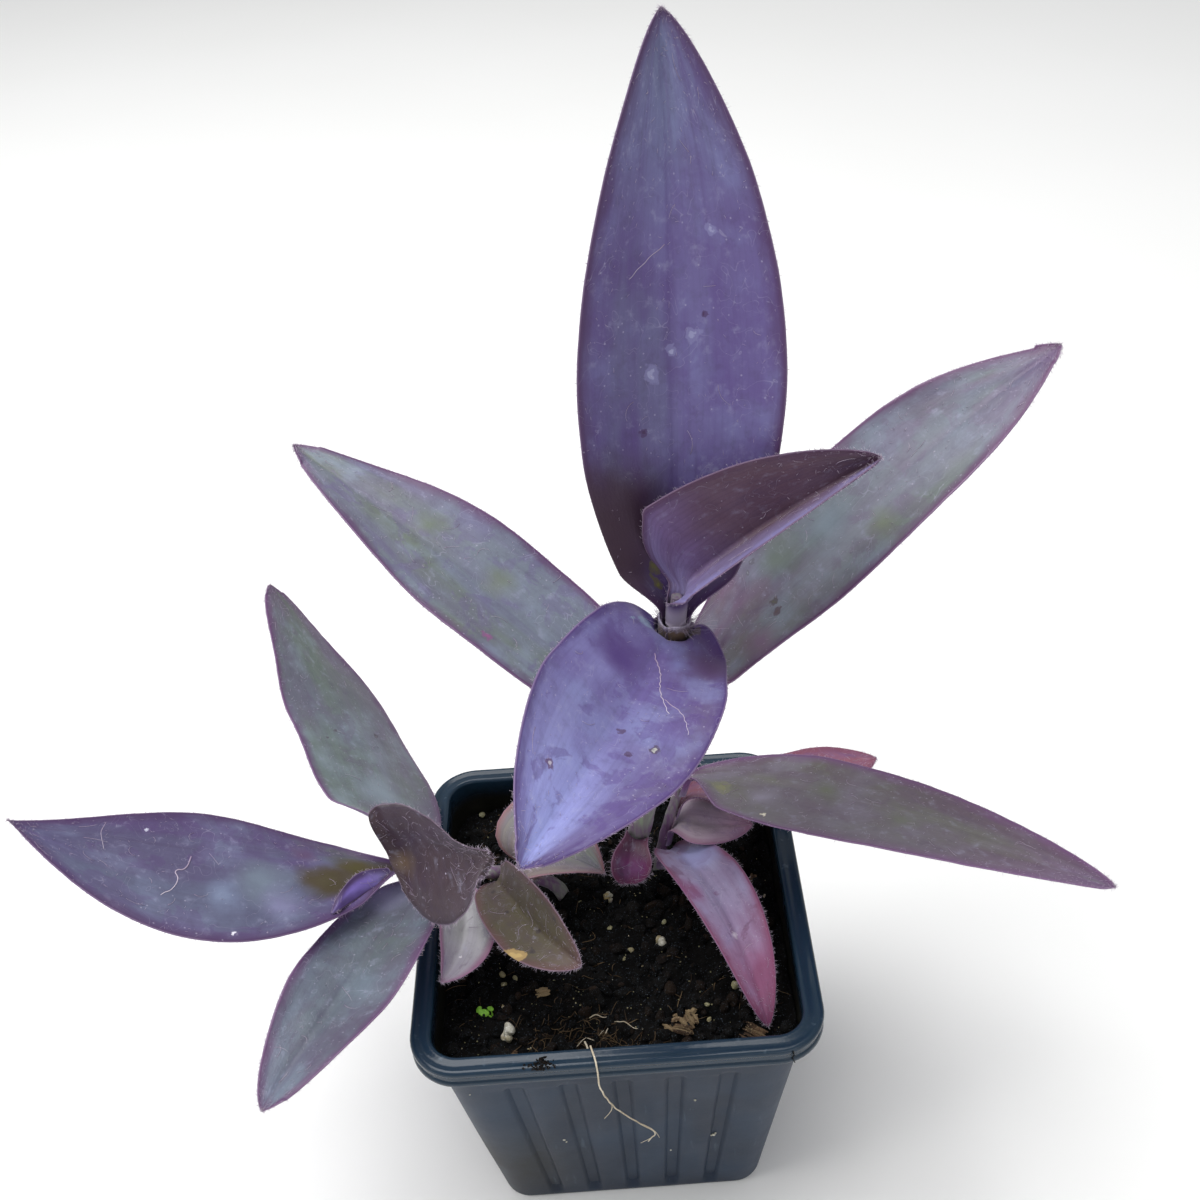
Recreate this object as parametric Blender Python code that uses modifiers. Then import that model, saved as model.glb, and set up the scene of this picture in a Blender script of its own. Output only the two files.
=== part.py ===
"""Purple heart in a square nursery pot.

Metres, +Z up. The origin is the centre of the pot's base, and the pot's front face looks along -Y.
Lengths below are in millimetres and angles in degrees; MM turns them into metres.
"""

from math import cos, pi, radians, sin

import bmesh
import bpy
import numpy as np

MM = 0.001
COLLECTION = "potted_purple_heart"

# Pot: half widths across the flats, heights and walls
RIM_HALF = 45.0
BODY_TOP_HALF = 41.8
BASE_HALF = 33.0
POT_HEIGHT = 78.0
RIM_SKIRT = 5.0
RIM_WIDTH = 4.6
RIM_EDGE = 0.9
RIM_CORNER = 11.0
RIM_FOOT = 70.5
BASE_CORNER = 7.0
POT_WALL = 1.1
POT_FLOOR = 1.6
BASE_EDGE = 1.0
CORNER_STEPS = 5

# Five shallow flutes down each side
FLUTES = 5
FLUTE_PITCH = 12.2
FLUTE_HALF = 2.4
FLUTE_FLAT = 1.0
FLUTE_DEPTH = 0.7
FLUTE_TOP = 64.5
FLUTE_RUN_OUT = 1.5

# Holes in the floor, clear of its middle
DRAIN_RADIUS = 4.0
DRAIN_OFFSET = 16.0
DRAIN_SIDES = 16

# Soil
SOIL_LEVEL = 67.5
SOIL_GAP = 0.5
SOIL_RINGS = 9

# Stems, rooted in plain holes in the soil
STEM_GAP = 0.5
STEM_SIDES = 2
STEM_STEPS = 4

# Each stem: guide points from its foot to its tip, and its radius at both ends
STEMS = {
    "main": dict(
        path=[(3, 18, 57), (5.5, 16, 74), (10, 13, 96), (14.5, 8, 124), (17, 5.5, 152), (18, 5, 164)],
        radii=(3.3, 1.0),
    ),
    "left": dict(
        path=[
            (-11, 11, 57), (-14, 10, 71), (-25, 7.5, 80), (-36, 5, 83.5), (-43.5, 3.5, 88.5), (-46.5, 3, 100),
        ],
        radii=(1.8, 1.1),
    ),
    "right": dict(
        path=[(11, 15, 57), (12, 15.7, 70), (14, 17.5, 80), (17, 20, 89), (19, 21, 95)],
        radii=(1.6, 1.0),
    ),
}

# Half angle of the channel above a sheath's mouth
CHANNEL = 75.0

# A leaf's form. The sheath wraps the stem by a half angle, the blade turns away from it and
# opens, and rise and dip are the midrib's slopes at the blade's foot and tip.
LEAF_DEFAULTS = dict(
    sheath=8.0, clearance=0.5, wrap=165.0, mouth=3.0, turn=9.0, opening=12.0, swing=0.0, roll=0.0, twist=0.0,
    widest=0.43, foot=0.36, swell=1.0, taper=0.85, fold=8.0, cup=8.0, wave=0.0, waves=2.5,
    thick=0.9, stations=20, columns=9,
)

LEAVES = {
    "leaf_main_top": dict(stem="main", at=0.87, length=110.5, width=40.5, heading=76, rise=74, dip=74,
                          sheath=4, clearance=1, turn=3.5, swing=19, roll=7, twist=16, widest=0.45,
                          foot=0.32, swell=0.85, taper=0.74, fold=10, cup=11, thick=0.7),
    "leaf_main_young": dict(stem="main", at=0.955, length=47.5, width=36, heading=3, rise=40, dip=19,
                            sheath=3, clearance=0.55, turn=8, swing=10, roll=36, twist=4, widest=0.16,
                            foot=0.42, swell=0.55, taper=0.71, fold=47, cup=19, thick=0.7),
    "leaf_main_front": dict(stem="main", at=0.8, length=83.5, width=33.5, heading=-107, rise=16, dip=8,
                            sheath=6, clearance=2.05, turn=10, swing=-7, roll=-18, twist=-12, widest=0.5,
                            foot=0.4, swell=0.6, taper=0.81, fold=13, cup=12, wave=0.8),
    "leaf_main_right": dict(stem="main", at=0.61, length=108, width=29.5, heading=12, rise=54, dip=25,
                            clearance=0.95, turn=7, opening=16, swing=8, roll=9, twist=2, widest=0.53,
                            foot=0.39, swell=1.05, taper=0.73, fold=4, cup=9, wave=0.7),
    "leaf_main_left": dict(stem="main", at=0.47, length=107.5, width=31, heading=148, rise=36, dip=22,
                           swing=-1, roll=-4, widest=0.45, taper=0.77, fold=6, cup=7, wave=0.7),
    "leaf_main_bud": dict(stem="main", at=0.16, length=14, width=12, heading=-100, rise=15, dip=-60,
                          sheath=0.5, wrap=55, mouth=1, turn=5, opening=6, fold=30, cup=30, thick=0.7,
                          stations=12, columns=7),
    "leaf_left_low": dict(stem="left", at=0.31, length=28, width=32, heading=17, rise=26, dip=-49,
                          sheath=1.5, clearance=0.35, wrap=55, mouth=2, turn=10.5, opening=10, swing=-31,
                          roll=-4, twist=4, widest=0.2, foot=0.34, swell=1.15, taper=1.07, fold=26, cup=6,
                          thick=0.7, stations=14, columns=7),
    "leaf_left_inner": dict(stem="left", at=0.425, length=46, width=18, heading=-73, rise=29, dip=3,
                            sheath=1.5, clearance=0.9, wrap=55, mouth=2, turn=6, opening=10, swing=25,
                            roll=28, twist=14, widest=0.64, foot=0.31, swell=0.75, taper=0.64, fold=27,
                            cup=13, thick=0.7, stations=14, columns=7),
    "leaf_left_pale": dict(stem="left", at=0.575, length=30.5, width=15, heading=-76, rise=-22, dip=16,
                           sheath=1.5, clearance=1.35, wrap=55, mouth=2, turn=3.5, opening=10, swing=-38,
                           roll=-22, twist=-13, widest=0.53, foot=0.21, taper=0.86, fold=24, cup=12,
                           thick=0.7, stations=14, columns=7),
    "leaf_left_up": dict(stem="left", at=0.85, length=94, width=34.5, heading=109, rise=-10, dip=32,
                         sheath=2, clearance=0.55, wrap=55, mouth=2, turn=3.5, swing=15, roll=40,
                         twist=-2, widest=0.34, foot=0.42, swell=0.55, taper=0.65, fold=-4, cup=3,
                         wave=0.5),
    "leaf_left_down": dict(stem="left", at=0.65, length=73, width=24, heading=-114, rise=12, dip=4,
                           sheath=2, wrap=55, mouth=2, turn=8.5, swing=2, roll=5, twist=-12, widest=0.46,
                           foot=0.27, swell=1.1, taper=0.69, fold=9, cup=9, wave=0.5),
    "leaf_left_long": dict(stem="left", at=0.785, length=88.5, width=32, heading=215, rise=21, dip=37,
                           sheath=2, clearance=0.6, wrap=55, mouth=2, turn=8.5, opening=18, swing=-42,
                           roll=-7, twist=-3, widest=0.51, foot=0.12, swell=1.25, taper=1.14, fold=-5),
    "leaf_left_tip": dict(stem="left", at=0.94, length=49, width=32.5, heading=-59, rise=34, dip=32,
                          sheath=1.5, clearance=0.9, wrap=55, mouth=1.5, turn=7.5, opening=8, swing=12,
                          roll=83, twist=9, widest=0.59, foot=0.27, swell=1.05, taper=0.81, fold=22,
                          cup=13, thick=0.7, stations=14),
    "leaf_right_front": dict(stem="right", at=0.34, length=62.5, width=17, heading=-61, rise=45, dip=-53,
                             sheath=1.5, clearance=0.95, wrap=55, mouth=2, turn=7.5, swing=-14, roll=-11,
                             twist=-2, widest=0.39, foot=0.39, swell=1.05, taper=0.68, fold=9, cup=12,
                             thick=0.8, stations=18, columns=7),
    "leaf_right_small": dict(stem="right", at=0.505, length=24, width=13.5, heading=-20, rise=-11,
                             dip=-11, sheath=1.5, clearance=0.45, wrap=55, mouth=2, turn=8.5, opening=8,
                             swing=34, widest=0.42, foot=0.38, swell=0.95, taper=0.9, fold=7, cup=3,
                             thick=0.7, stations=12, columns=7),
    "leaf_right_back": dict(stem="right", at=0.69, length=59, width=18, heading=31, rise=-2, dip=-17,
                            sheath=1.5, wrap=55, mouth=2, turn=7.5, swing=-21, roll=-23, twist=-5,
                            widest=0.42, foot=0.35, swell=0.95, taper=0.77, fold=-5, cup=5, thick=0.8,
                            stations=16, columns=7),
    "leaf_right_long": dict(stem="right", at=0.87, length=102.5, width=31.5, heading=-30, rise=17, dip=-7,
                            sheath=2, clearance=0.55, wrap=55, mouth=2, turn=6, opening=18, swing=1,
                            roll=-11, twist=-5, widest=0.34, foot=0.34, swell=1.05, taper=0.66, fold=-10,
                            cup=23),
}

# Root thread that hangs over the front rim: places from the soil to its free end
ROOT_PATH = [
    (-7.6, -33.8, 69.8), (-6.5, -37.6, 71), (-6, -39.3, 75), (-5.8, -40.9, 78.8), (-4.8, -44.6, 78.9),
    (-4.6, -46, 77), (-4.4, -45.9, 71), (-3.5, -44.7, 64.5), (-2.3, -43.5, 59), (0, -42.3, 53),
    (3.2, -41.3, 47), (6.4, -40.5, 41), (4.8, -39.3, 35),
]
ROOT_RADIUS = 0.35

COLOURS = {
    "pot": (0.020, 0.029, 0.038),
    "soil": (0.008, 0.006, 0.005),
    "stem": (0.30, 0.34, 0.27),
    "leaf": (0.13, 0.09, 0.20),
    "root": (0.45, 0.38, 0.28),
}
ROUGHNESS = {"pot": 0.42, "soil": 0.95, "stem": 0.55, "leaf": 0.48, "root": 0.7}


def material(name):
    """A plain surface for one kind of piece."""
    made = bpy.data.materials.new(name)
    made.use_nodes = True
    shader = made.node_tree.nodes["Principled BSDF"]
    shader.inputs["Base Color"].default_value = (*COLOURS[name], 1.0)
    shader.inputs["Roughness"].default_value = ROUGHNESS[name]
    return made


def new_collection(name):
    made = bpy.data.collections.new(name)
    bpy.context.scene.collection.children.link(made)
    return made


def add_object(name, data, collection, finish=None):
    """Link new data to the scene as one object."""
    made = bpy.data.objects.new(name, data)
    collection.objects.link(made)
    if finish is not None:
        data.materials.append(finish)
    return made


def rounded_square(half, corner, flute=0.0):
    """Points round a square with rounded corners, with the flutes of each side cut in by a depth."""
    side = []
    spread = half / BODY_TOP_HALF
    edges = ((-FLUTE_HALF, 0.0), (-FLUTE_FLAT, flute), (FLUTE_FLAT, flute), (FLUTE_HALF, 0.0))
    for place in range(FLUTES):
        middle = (place - (FLUTES - 1) / 2) * FLUTE_PITCH * spread
        for step, depth in edges:
            side.append((middle + step * spread, -half + depth))
    for step in range(CORNER_STEPS):
        turn = radians(90) * step / (CORNER_STEPS - 1)
        side.append((half - corner + corner * sin(turn), -half + corner - corner * cos(turn)))
    points = []
    for quarter in range(4):
        c = cos(radians(90) * quarter)
        s = sin(radians(90) * quarter)
        points += [(c * x - s * y, s * x + c * y) for x, y in side]
    return points


def loft(name, rings):
    """A closed mesh through rings of points, in millimetres, with a flat cap on both ends."""
    mesh = bpy.data.meshes.new(name)
    around = len(rings[0])
    points = [tuple(MM * value for value in point) for ring in rings for point in ring]
    faces = [tuple(reversed(range(around)))]
    for ring in range(len(rings) - 1):
        low = ring * around
        for place in range(around):
            beside = (place + 1) % around
            faces.append((low + place, low + beside, low + around + beside, low + around + place))
    last = (len(rings) - 1) * around
    faces.append(tuple(range(last, last + around)))
    mesh.from_pydata(points, [], faces)
    shape = bmesh.new()
    shape.from_mesh(mesh)
    bmesh.ops.triangulate(shape, faces=[face for face in shape.faces if len(face.verts) == 4])
    shape.to_mesh(mesh)
    shape.free()
    return mesh


def body_half(height):
    """Half width of the pot's tapered body at a height."""
    return BASE_HALF + (BODY_TOP_HALF - BASE_HALF) * height / (POT_HEIGHT - RIM_SKIRT)


def body_corner(height):
    return BASE_CORNER + (RIM_CORNER - 1.0 - BASE_CORNER) * height / (POT_HEIGHT - RIM_SKIRT)


def pot_rings():
    """Rings of the pot, up its outside, over the rim and down its inside."""
    skirt = POT_HEIGHT - RIM_SKIRT
    inner_top = RIM_HALF - RIM_WIDTH
    edge = RIM_EDGE
    flutes_end = FLUTE_TOP - FLUTE_RUN_OUT
    outside = [
        (body_half(0) - BASE_EDGE, body_corner(0) - BASE_EDGE, 0.0, 0.0),
        (body_half(BASE_EDGE), body_corner(BASE_EDGE), BASE_EDGE, FLUTE_DEPTH),
        (body_half(flutes_end), body_corner(flutes_end), flutes_end, FLUTE_DEPTH),
        (body_half(FLUTE_TOP), body_corner(FLUTE_TOP), FLUTE_TOP, 0.0),
        (body_half(skirt), body_corner(skirt), skirt, 0.0),
    ]
    rim = [
        (RIM_HALF - edge / 2, RIM_CORNER - edge / 2, skirt, 0.0),
        (RIM_HALF, RIM_CORNER, skirt + edge / 2, 0.0),
        (RIM_HALF, RIM_CORNER, POT_HEIGHT - edge, 0.0),
        (RIM_HALF - edge, RIM_CORNER - edge, POT_HEIGHT, 0.0),
        (inner_top + edge, RIM_CORNER - RIM_WIDTH + edge, POT_HEIGHT, 0.0),
        (inner_top, RIM_CORNER - RIM_WIDTH, POT_HEIGHT - edge, 0.0),
    ]
    inside = [
        (body_half(RIM_FOOT) - POT_WALL, body_corner(RIM_FOOT) - POT_WALL, RIM_FOOT, 0.0),
        (body_half(POT_FLOOR) - POT_WALL, body_corner(POT_FLOOR) - POT_WALL, POT_FLOOR, 0.0),
    ]
    rings = []
    for half, corner, height, flute in outside + rim + inside:
        rings.append([(x, y, height) for x, y in rounded_square(half, corner, flute)])
    return rings


def drain_cutter(collection):
    """Four upright pins that cut the holes in the pot's floor."""
    shape = bmesh.new()
    for x in (-DRAIN_OFFSET, DRAIN_OFFSET):
        for y in (-DRAIN_OFFSET, DRAIN_OFFSET):
            pin = bmesh.ops.create_cone(
                shape, cap_ends=True, segments=DRAIN_SIDES, radius1=DRAIN_RADIUS * MM,
                radius2=DRAIN_RADIUS * MM, depth=4 * POT_FLOOR * MM,
            )
            bmesh.ops.translate(shape, verts=pin["verts"], vec=(x * MM, y * MM, 0.0))
    mesh = bpy.data.meshes.new("drain_pins")
    shape.to_mesh(mesh)
    shape.free()
    return hide_helper(add_object("drain_pins", mesh, collection))


def hide_helper(helper):
    """Keep a cutter out of renders."""
    helper.hide_render = True
    helper.display_type = "WIRE"
    return helper


def cut(target, cutter, solver="EXACT"):
    """Take the cutter's volume out of the target."""
    modifier = target.modifiers.new(cutter.name, "BOOLEAN")
    modifier.operation = "DIFFERENCE"
    modifier.solver = solver
    modifier.object = cutter


def build_pot(parts, cutters):
    pot = add_object("pot", loft("pot", pot_rings()), parts, material("pot"))
    cut(pot, drain_cutter(cutters))
    return pot


def soil_height(x, y):
    """Height of the crumbly soil at a place, in millimetres."""
    swell = 0.9 * sin(0.13 * x + 0.6) * cos(0.11 * y - 0.4)
    lumps = 0.55 * sin(0.42 * x + 0.35 * y) * cos(0.31 * y - 0.2 * x + 1.0)
    crumbs = 0.35 * sin(1.05 * x - 0.6 * y) * sin(0.9 * y + 0.5 * x)
    return SOIL_LEVEL + swell + lumps + crumbs


def soil_ring(share, height=None):
    """A ring inside the pot's wall, drawn in towards the middle by a share of its size."""
    level = SOIL_LEVEL if height is None else height
    half = body_half(level) - POT_WALL - SOIL_GAP
    corner = body_corner(level) - POT_WALL
    outline = rounded_square(half, corner)
    ring = []
    for x, y in outline:
        x *= share
        y *= share
        ring.append((x, y, soil_height(x, y) if height is None else height))
    return ring


def build_soil(parts, cutters):
    """Soil that fills the pot to about a centimetre below the rim, with a plain hole for each stem."""
    rings = [soil_ring(1.0, POT_FLOOR + SOIL_GAP)]
    rings += [soil_ring(1.0 - step / SOIL_RINGS) for step in range(SOIL_RINGS)]
    soil = add_object("soil", loft("soil", rings), parts, material("soil"))
    for name in STEMS:
        # The exact solver leaves open edges where these holes meet the uneven surface.
        cut(soil, stem_hole(name, cutters), "MANIFOLD")
    return soil


def smooth_curve(path, steps):
    """Points of a smooth curve through the path, as an array."""
    guide = np.array(path, float)
    guide = np.vstack([2 * guide[0] - guide[1], guide, 2 * guide[-1] - guide[-2]])
    points = []
    for place in range(1, len(guide) - 2):
        a, b, c, d = guide[place - 1:place + 3]
        for t in np.arange(steps) / steps:
            points.append(0.5 * (2 * b + (c - a) * t + (2 * a - 5 * b + 4 * c - d) * t**2
                                 + (3 * b - a - 3 * c + d) * t**3))
    points.append(guide[-2])
    return np.array(points)


def tube(name, points, radii, collection, finish=None):
    """A round rod along the points, as a curve with filled caps."""
    data = bpy.data.curves.new(name, "CURVE")
    data.dimensions = "3D"
    data.bevel_depth = MM
    data.bevel_resolution = STEM_SIDES
    data.use_fill_caps = True
    spline = data.splines.new("POLY")
    spline.points.add(len(points) - 1)
    for point, place, radius in zip(spline.points, points, radii):
        point.co = (*(MM * place), 1.0)
        point.radius = radius
    return add_object(name, data, collection, finish)


def build_stem(name, parts):
    points = smooth_curve(STEMS[name]["path"], STEM_STEPS)
    radii = np.linspace(*STEMS[name]["radii"], len(points))
    return tube("stem_" + name, points, radii, parts, material("stem"))


def stem_hole(name, cutters):
    """A cutter round a stem's foot, a little wider and deeper than the stem."""
    points = smooth_curve(STEMS[name]["path"], STEM_STEPS)[:2 * STEM_STEPS + 1]
    points[0, 2] -= STEM_GAP
    radius = STEMS[name]["radii"][0] + STEM_GAP
    rod = tube("hole_" + name, points, [radius] * len(points), cutters)
    return hide_helper(as_mesh(rod, cutters))


def as_mesh(curve, collection):
    """Swap a curve object for a mesh object of the same shape, with its caps welded."""
    graph = bpy.context.evaluated_depsgraph_get()
    mesh = bpy.data.meshes.new_from_object(curve.evaluated_get(graph))
    name = curve.name
    place = curve.matrix_world.copy()
    bpy.data.objects.remove(curve)
    shape = bmesh.new()
    shape.from_mesh(mesh)
    bmesh.ops.remove_doubles(shape, verts=shape.verts, dist=1e-6)
    bmesh.ops.recalc_face_normals(shape, faces=shape.faces)
    shape.to_mesh(mesh)
    shape.free()
    made = add_object(name, mesh, collection)
    made.matrix_world = place
    return made


def unit(rows):
    return rows / np.linalg.norm(rows, axis=-1, keepdims=True)


def ease(share):
    """A smooth step from 0 to 1."""
    share = np.clip(share, 0.0, 1.0)
    return share * share * (3 - 2 * share)


def stem_place(name, share):
    """Place, direction and radius of a stem at a share of its length."""
    points = smooth_curve(STEMS[name]["path"], 40)
    run = np.concatenate([[0.0], np.cumsum(np.linalg.norm(np.diff(points, axis=0), axis=1))])
    run /= run[-1]

    def at(value):
        return np.array([np.interp(value, run, points[:, axis]) for axis in range(3)])

    first, last = STEMS[name]["radii"]
    return at(share), unit(at(share + 0.01) - at(share - 0.01)), first + (last - first) * share


def station_places(leaf):
    """Distances along the midrib of the rows of points, closest at the sheath's mouth and the tip."""
    mouth = leaf["sheath"] + leaf["mouth"]
    opening = leaf["sheath"] + leaf["opening"]
    end = leaf["sheath"] + leaf["length"]
    low = [0.0, leaf["sheath"], leaf["sheath"] + leaf["mouth"] / 2]
    middle = np.linspace(mouth, opening, 5)[:-1]
    count = leaf["stations"] - len(low) - len(middle)
    high = opening + (end - opening) * np.sin(np.linspace(0, pi / 2, count))
    return np.concatenate([low, middle, high])


def leaf_frames(leaf, run):
    """Midrib points and the directions along, across and out of the leaf's upper face."""
    base, axis, radius = stem_place(leaf["stem"], leaf["at"])
    blade = np.clip(run - leaf["sheath"], 0, None)
    share = blade / leaf["length"]
    heading = np.radians(leaf["heading"] + leaf["swing"] * share)
    slope = np.radians(leaf["rise"] + (leaf["dip"] - leaf["rise"]) * share)
    roll = np.radians(leaf["roll"] + leaf["twist"] * share)[:, None]
    ahead = np.stack([np.cos(slope) * np.cos(heading), np.cos(slope) * np.sin(heading), np.sin(slope)], 1)
    level = np.stack([-np.sin(heading), np.cos(heading), 0 * heading], 1)
    across = np.cos(roll) * level + np.sin(roll) * np.cross(ahead, level)
    out = np.array([cos(heading[0]), sin(heading[0]), 0.0])
    out = unit(out - axis * (out @ axis))
    turned = ease((blade - leaf["mouth"] / 2) / leaf["turn"])[:, None]
    along = unit(axis * (1 - turned) + ahead * turned)
    side = np.cross(axis, out) * (1 - turned) + across * turned
    side = unit(side - along * (side * along).sum(1, keepdims=True))
    steps = 0.5 * (along[1:] + along[:-1]) * np.diff(run)[:, None]
    ring = radius + leaf["clearance"]
    midrib = np.vstack([np.zeros(3), np.cumsum(steps, 0)]) + base + out * ring
    return midrib, side, np.cross(along, side), ring


def leaf_widths(leaf, share):
    """Half width of the blade at shares of its length."""
    widest = leaf["widest"]
    low = np.sin(pi / 2 * np.clip(share / widest, 0, 1)) ** leaf["swell"]
    high = np.cos(pi / 2 * np.clip((share - widest) / (1 - widest), 0, 1)) ** leaf["taper"]
    foot = leaf["foot"]
    return leaf["width"] / 2 * np.where(share < widest, foot + (1 - foot) * low, high)


def leaf_surface(leaf):
    """Rows of points over a leaf's upper face, from the sheath's foot to the tip."""
    fine = np.linspace(0, leaf["sheath"] + leaf["length"], 400)
    midrib, side, up, ring = leaf_frames(leaf, fine)
    run = station_places(leaf)
    midrib, side, up = (
        np.stack([np.interp(run, fine, rows[:, axis]) for axis in range(3)], 1)
        for rows in (midrib, side, up)
    )
    blade = np.clip(run - leaf["sheath"], 0, None)
    share = blade / leaf["length"]
    # The sheath's round section opens to a channel at its mouth, and the channel flattens into the blade.
    channel = min(CHANNEL, leaf["wrap"])
    clasp = np.radians(leaf["wrap"] + (channel - leaf["wrap"]) * ease(blade / leaf["mouth"]))
    opened = ease(blade / leaf["opening"])
    half = ring * clasp * (1 - opened) + leaf_widths(leaf, share) * opened
    fold = np.radians(leaf["fold"]) * opened
    cup = clasp * (1 - opened) + np.radians(leaf["cup"]) * opened
    rows = np.zeros((len(run), leaf["columns"], 3))
    for column, place in enumerate(np.linspace(-1, 1, leaf["columns"])):
        reach = abs(place)
        level = (np.sin(fold + cup * reach) - np.sin(fold)) / cup
        lift = (np.cos(fold) - np.cos(fold + cup * reach)) / cup
        ripple = leaf["wave"] * opened * place**2 * np.sin(2 * pi * leaf["waves"] * share + 2.0 * place)
        rows[:, column] = midrib + (np.sign(place) * level * half)[:, None] * side
        rows[:, column] += (lift * half + ripple * (half > 3))[:, None] * up
    return rows


def leaf_mesh(name, rows):
    """An open surface of triangles over the rows, ending in one point at the tip."""
    columns = rows.shape[1]
    points = [tuple(MM * point) for row in rows[:-1] for point in row]
    points.append(tuple(MM * rows[-1, columns // 2]))
    tip = len(points) - 1
    faces = []
    for row in range(len(rows) - 2):
        for column in range(columns - 1):
            a = row * columns + column
            b = a + columns
            if column < columns // 2:
                faces += [(a, b + 1, a + 1), (a, b, b + 1)]
            else:
                faces += [(a, b, a + 1), (a + 1, b, b + 1)]
    last = (len(rows) - 2) * columns
    faces += [(last + column, tip, last + column + 1) for column in range(columns - 1)]
    mesh = bpy.data.meshes.new(name)
    mesh.from_pydata(points, [], faces)
    return mesh


def build_leaf(name, parts):
    leaf = {**LEAF_DEFAULTS, **LEAVES[name]}
    mesh = leaf_mesh(name, leaf_surface(leaf))
    mesh.shade_smooth()
    made = add_object(name, mesh, parts, bpy.data.materials.get("leaf") or material("leaf"))
    shell = made.modifiers.new("thickness", "SOLIDIFY")
    shell.thickness = leaf["thick"] * MM
    shell.offset = -1.0
    shell.use_even_offset = True
    return made


def build_root(parts):
    """A fine root that lies over the rim and down the front face."""
    points = smooth_curve(ROOT_PATH, 3)
    return tube("root_thread", points, [ROOT_RADIUS] * len(points), parts, material("root"))


def main():
    for old in list(bpy.data.objects):
        bpy.data.objects.remove(old)
    parts = new_collection(COLLECTION)
    cutters = new_collection("cutters")
    build_pot(parts, cutters)
    build_soil(parts, cutters)
    for name in STEMS:
        build_stem(name, parts)
    for name in LEAVES:
        build_leaf(name, parts)
    build_root(parts)


main()
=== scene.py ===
"""A young potted purple heart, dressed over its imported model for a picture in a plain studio."""

import logging
from collections.abc import Callable
from dataclasses import dataclass, field, replace
from enum import Enum
from functools import cache, partial
from itertools import product
from math import cos, pi, radians, sin
from typing import Any

import bmesh
import bpy
import numpy as np
from mathutils import Matrix, Vector


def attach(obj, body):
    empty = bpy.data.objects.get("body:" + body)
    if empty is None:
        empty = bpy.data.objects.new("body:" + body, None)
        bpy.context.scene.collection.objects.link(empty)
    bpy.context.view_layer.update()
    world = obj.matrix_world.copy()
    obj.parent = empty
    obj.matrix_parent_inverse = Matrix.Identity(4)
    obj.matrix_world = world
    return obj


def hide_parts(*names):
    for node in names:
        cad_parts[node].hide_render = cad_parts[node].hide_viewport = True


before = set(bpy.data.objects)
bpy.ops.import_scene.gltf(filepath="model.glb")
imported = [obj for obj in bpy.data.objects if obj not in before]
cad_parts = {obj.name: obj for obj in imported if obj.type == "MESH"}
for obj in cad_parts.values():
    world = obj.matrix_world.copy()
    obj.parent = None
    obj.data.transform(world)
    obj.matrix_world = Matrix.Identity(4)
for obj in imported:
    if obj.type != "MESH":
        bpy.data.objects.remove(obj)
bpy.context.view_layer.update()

MM = 0.001
log = logging.getLogger("potted_plant")
Point = tuple[float, float, float]
Face = tuple[int, ...]
Array = np.ndarray
Piece = bpy.types.Object
Grids = dict[str, Array]
AddNode = Callable[..., bpy.types.Node]


# Shared tools: colours, nodes, meshes and seeded noise

def srgb(code: str) -> tuple[float, float, float, float]:
    """Turn an sRGB hex colour to linear light.

    Args:
        code: the colour as #rrggbb.

    Returns:
        Linear red, green, blue and an alpha of 1.
    """
    parts = [int(code[place:place + 2], 16) / 255 for place in (1, 3, 5)]
    red, green, blue = (p / 12.92 if p <= 0.04045 else ((p + 0.055) / 1.055) ** 2.4 for p in parts)
    return red, green, blue, 1.0


def add_node(tree: bpy.types.NodeTree, kind: str, settings: dict | None = None,
             links: dict | None = None) -> bpy.types.Node:
    """Add a node with its settings and links.

    Args:
        tree: the material's node tree.
        kind: the shader node's type.
        settings: values by the name of a property, or by an input's name or number.
        links: what feeds the inputs, by the input's name or number: a socket, or a node whose first
            output in use is meant.

    Returns:
        The new node.
    """
    node = tree.nodes.new("ShaderNode" + kind)
    for name, value in (settings or {}).items():
        if isinstance(name, str) and hasattr(node, name):
            setattr(node, name, value)
        else:
            node.inputs[name].default_value = value
    for name, source in (links or {}).items():
        if isinstance(source, bpy.types.Node):
            source = next(socket for socket in source.outputs if socket.enabled)
        tree.links.new(source, node.inputs[name])
    return node


def put_in_scene(name: str, data: bpy.types.ID) -> Piece:
    """Make an object of a mesh, a light or a camera.

    Args:
        name: the object's name.
        data: what it is made of.

    Returns:
        The object, in the scene.
    """
    made = bpy.data.objects.new(name, data)
    bpy.context.scene.collection.objects.link(made)
    return made


@dataclass(frozen=True)
class SoftNoise:
    """Smooth noise in space from a seeded table of numbers."""

    seed: int

    def at(self, points: Array, period: float) -> Array:
        """Noise values from -1 to 1.

        Args:
            points: places, one row each.
            period: size of the lumps, in the points' unit.

        Returns:
            One value for each place.
        """
        table = np.random.default_rng(self.seed).uniform(-1, 1, (32, 32, 32))
        cell = points / period
        low = np.floor(cell).astype(int)
        part = cell - low
        part = part * part * (3 - 2 * part)
        total = np.zeros(points.shape[:-1])
        for corner in product((0, 1), repeat=3):
            index = (low + corner) % 32
            weight = np.prod(np.where(corner, part, 1 - part), axis=-1)
            total += weight * table[index[..., 0], index[..., 1], index[..., 2]]
        return total


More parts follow.
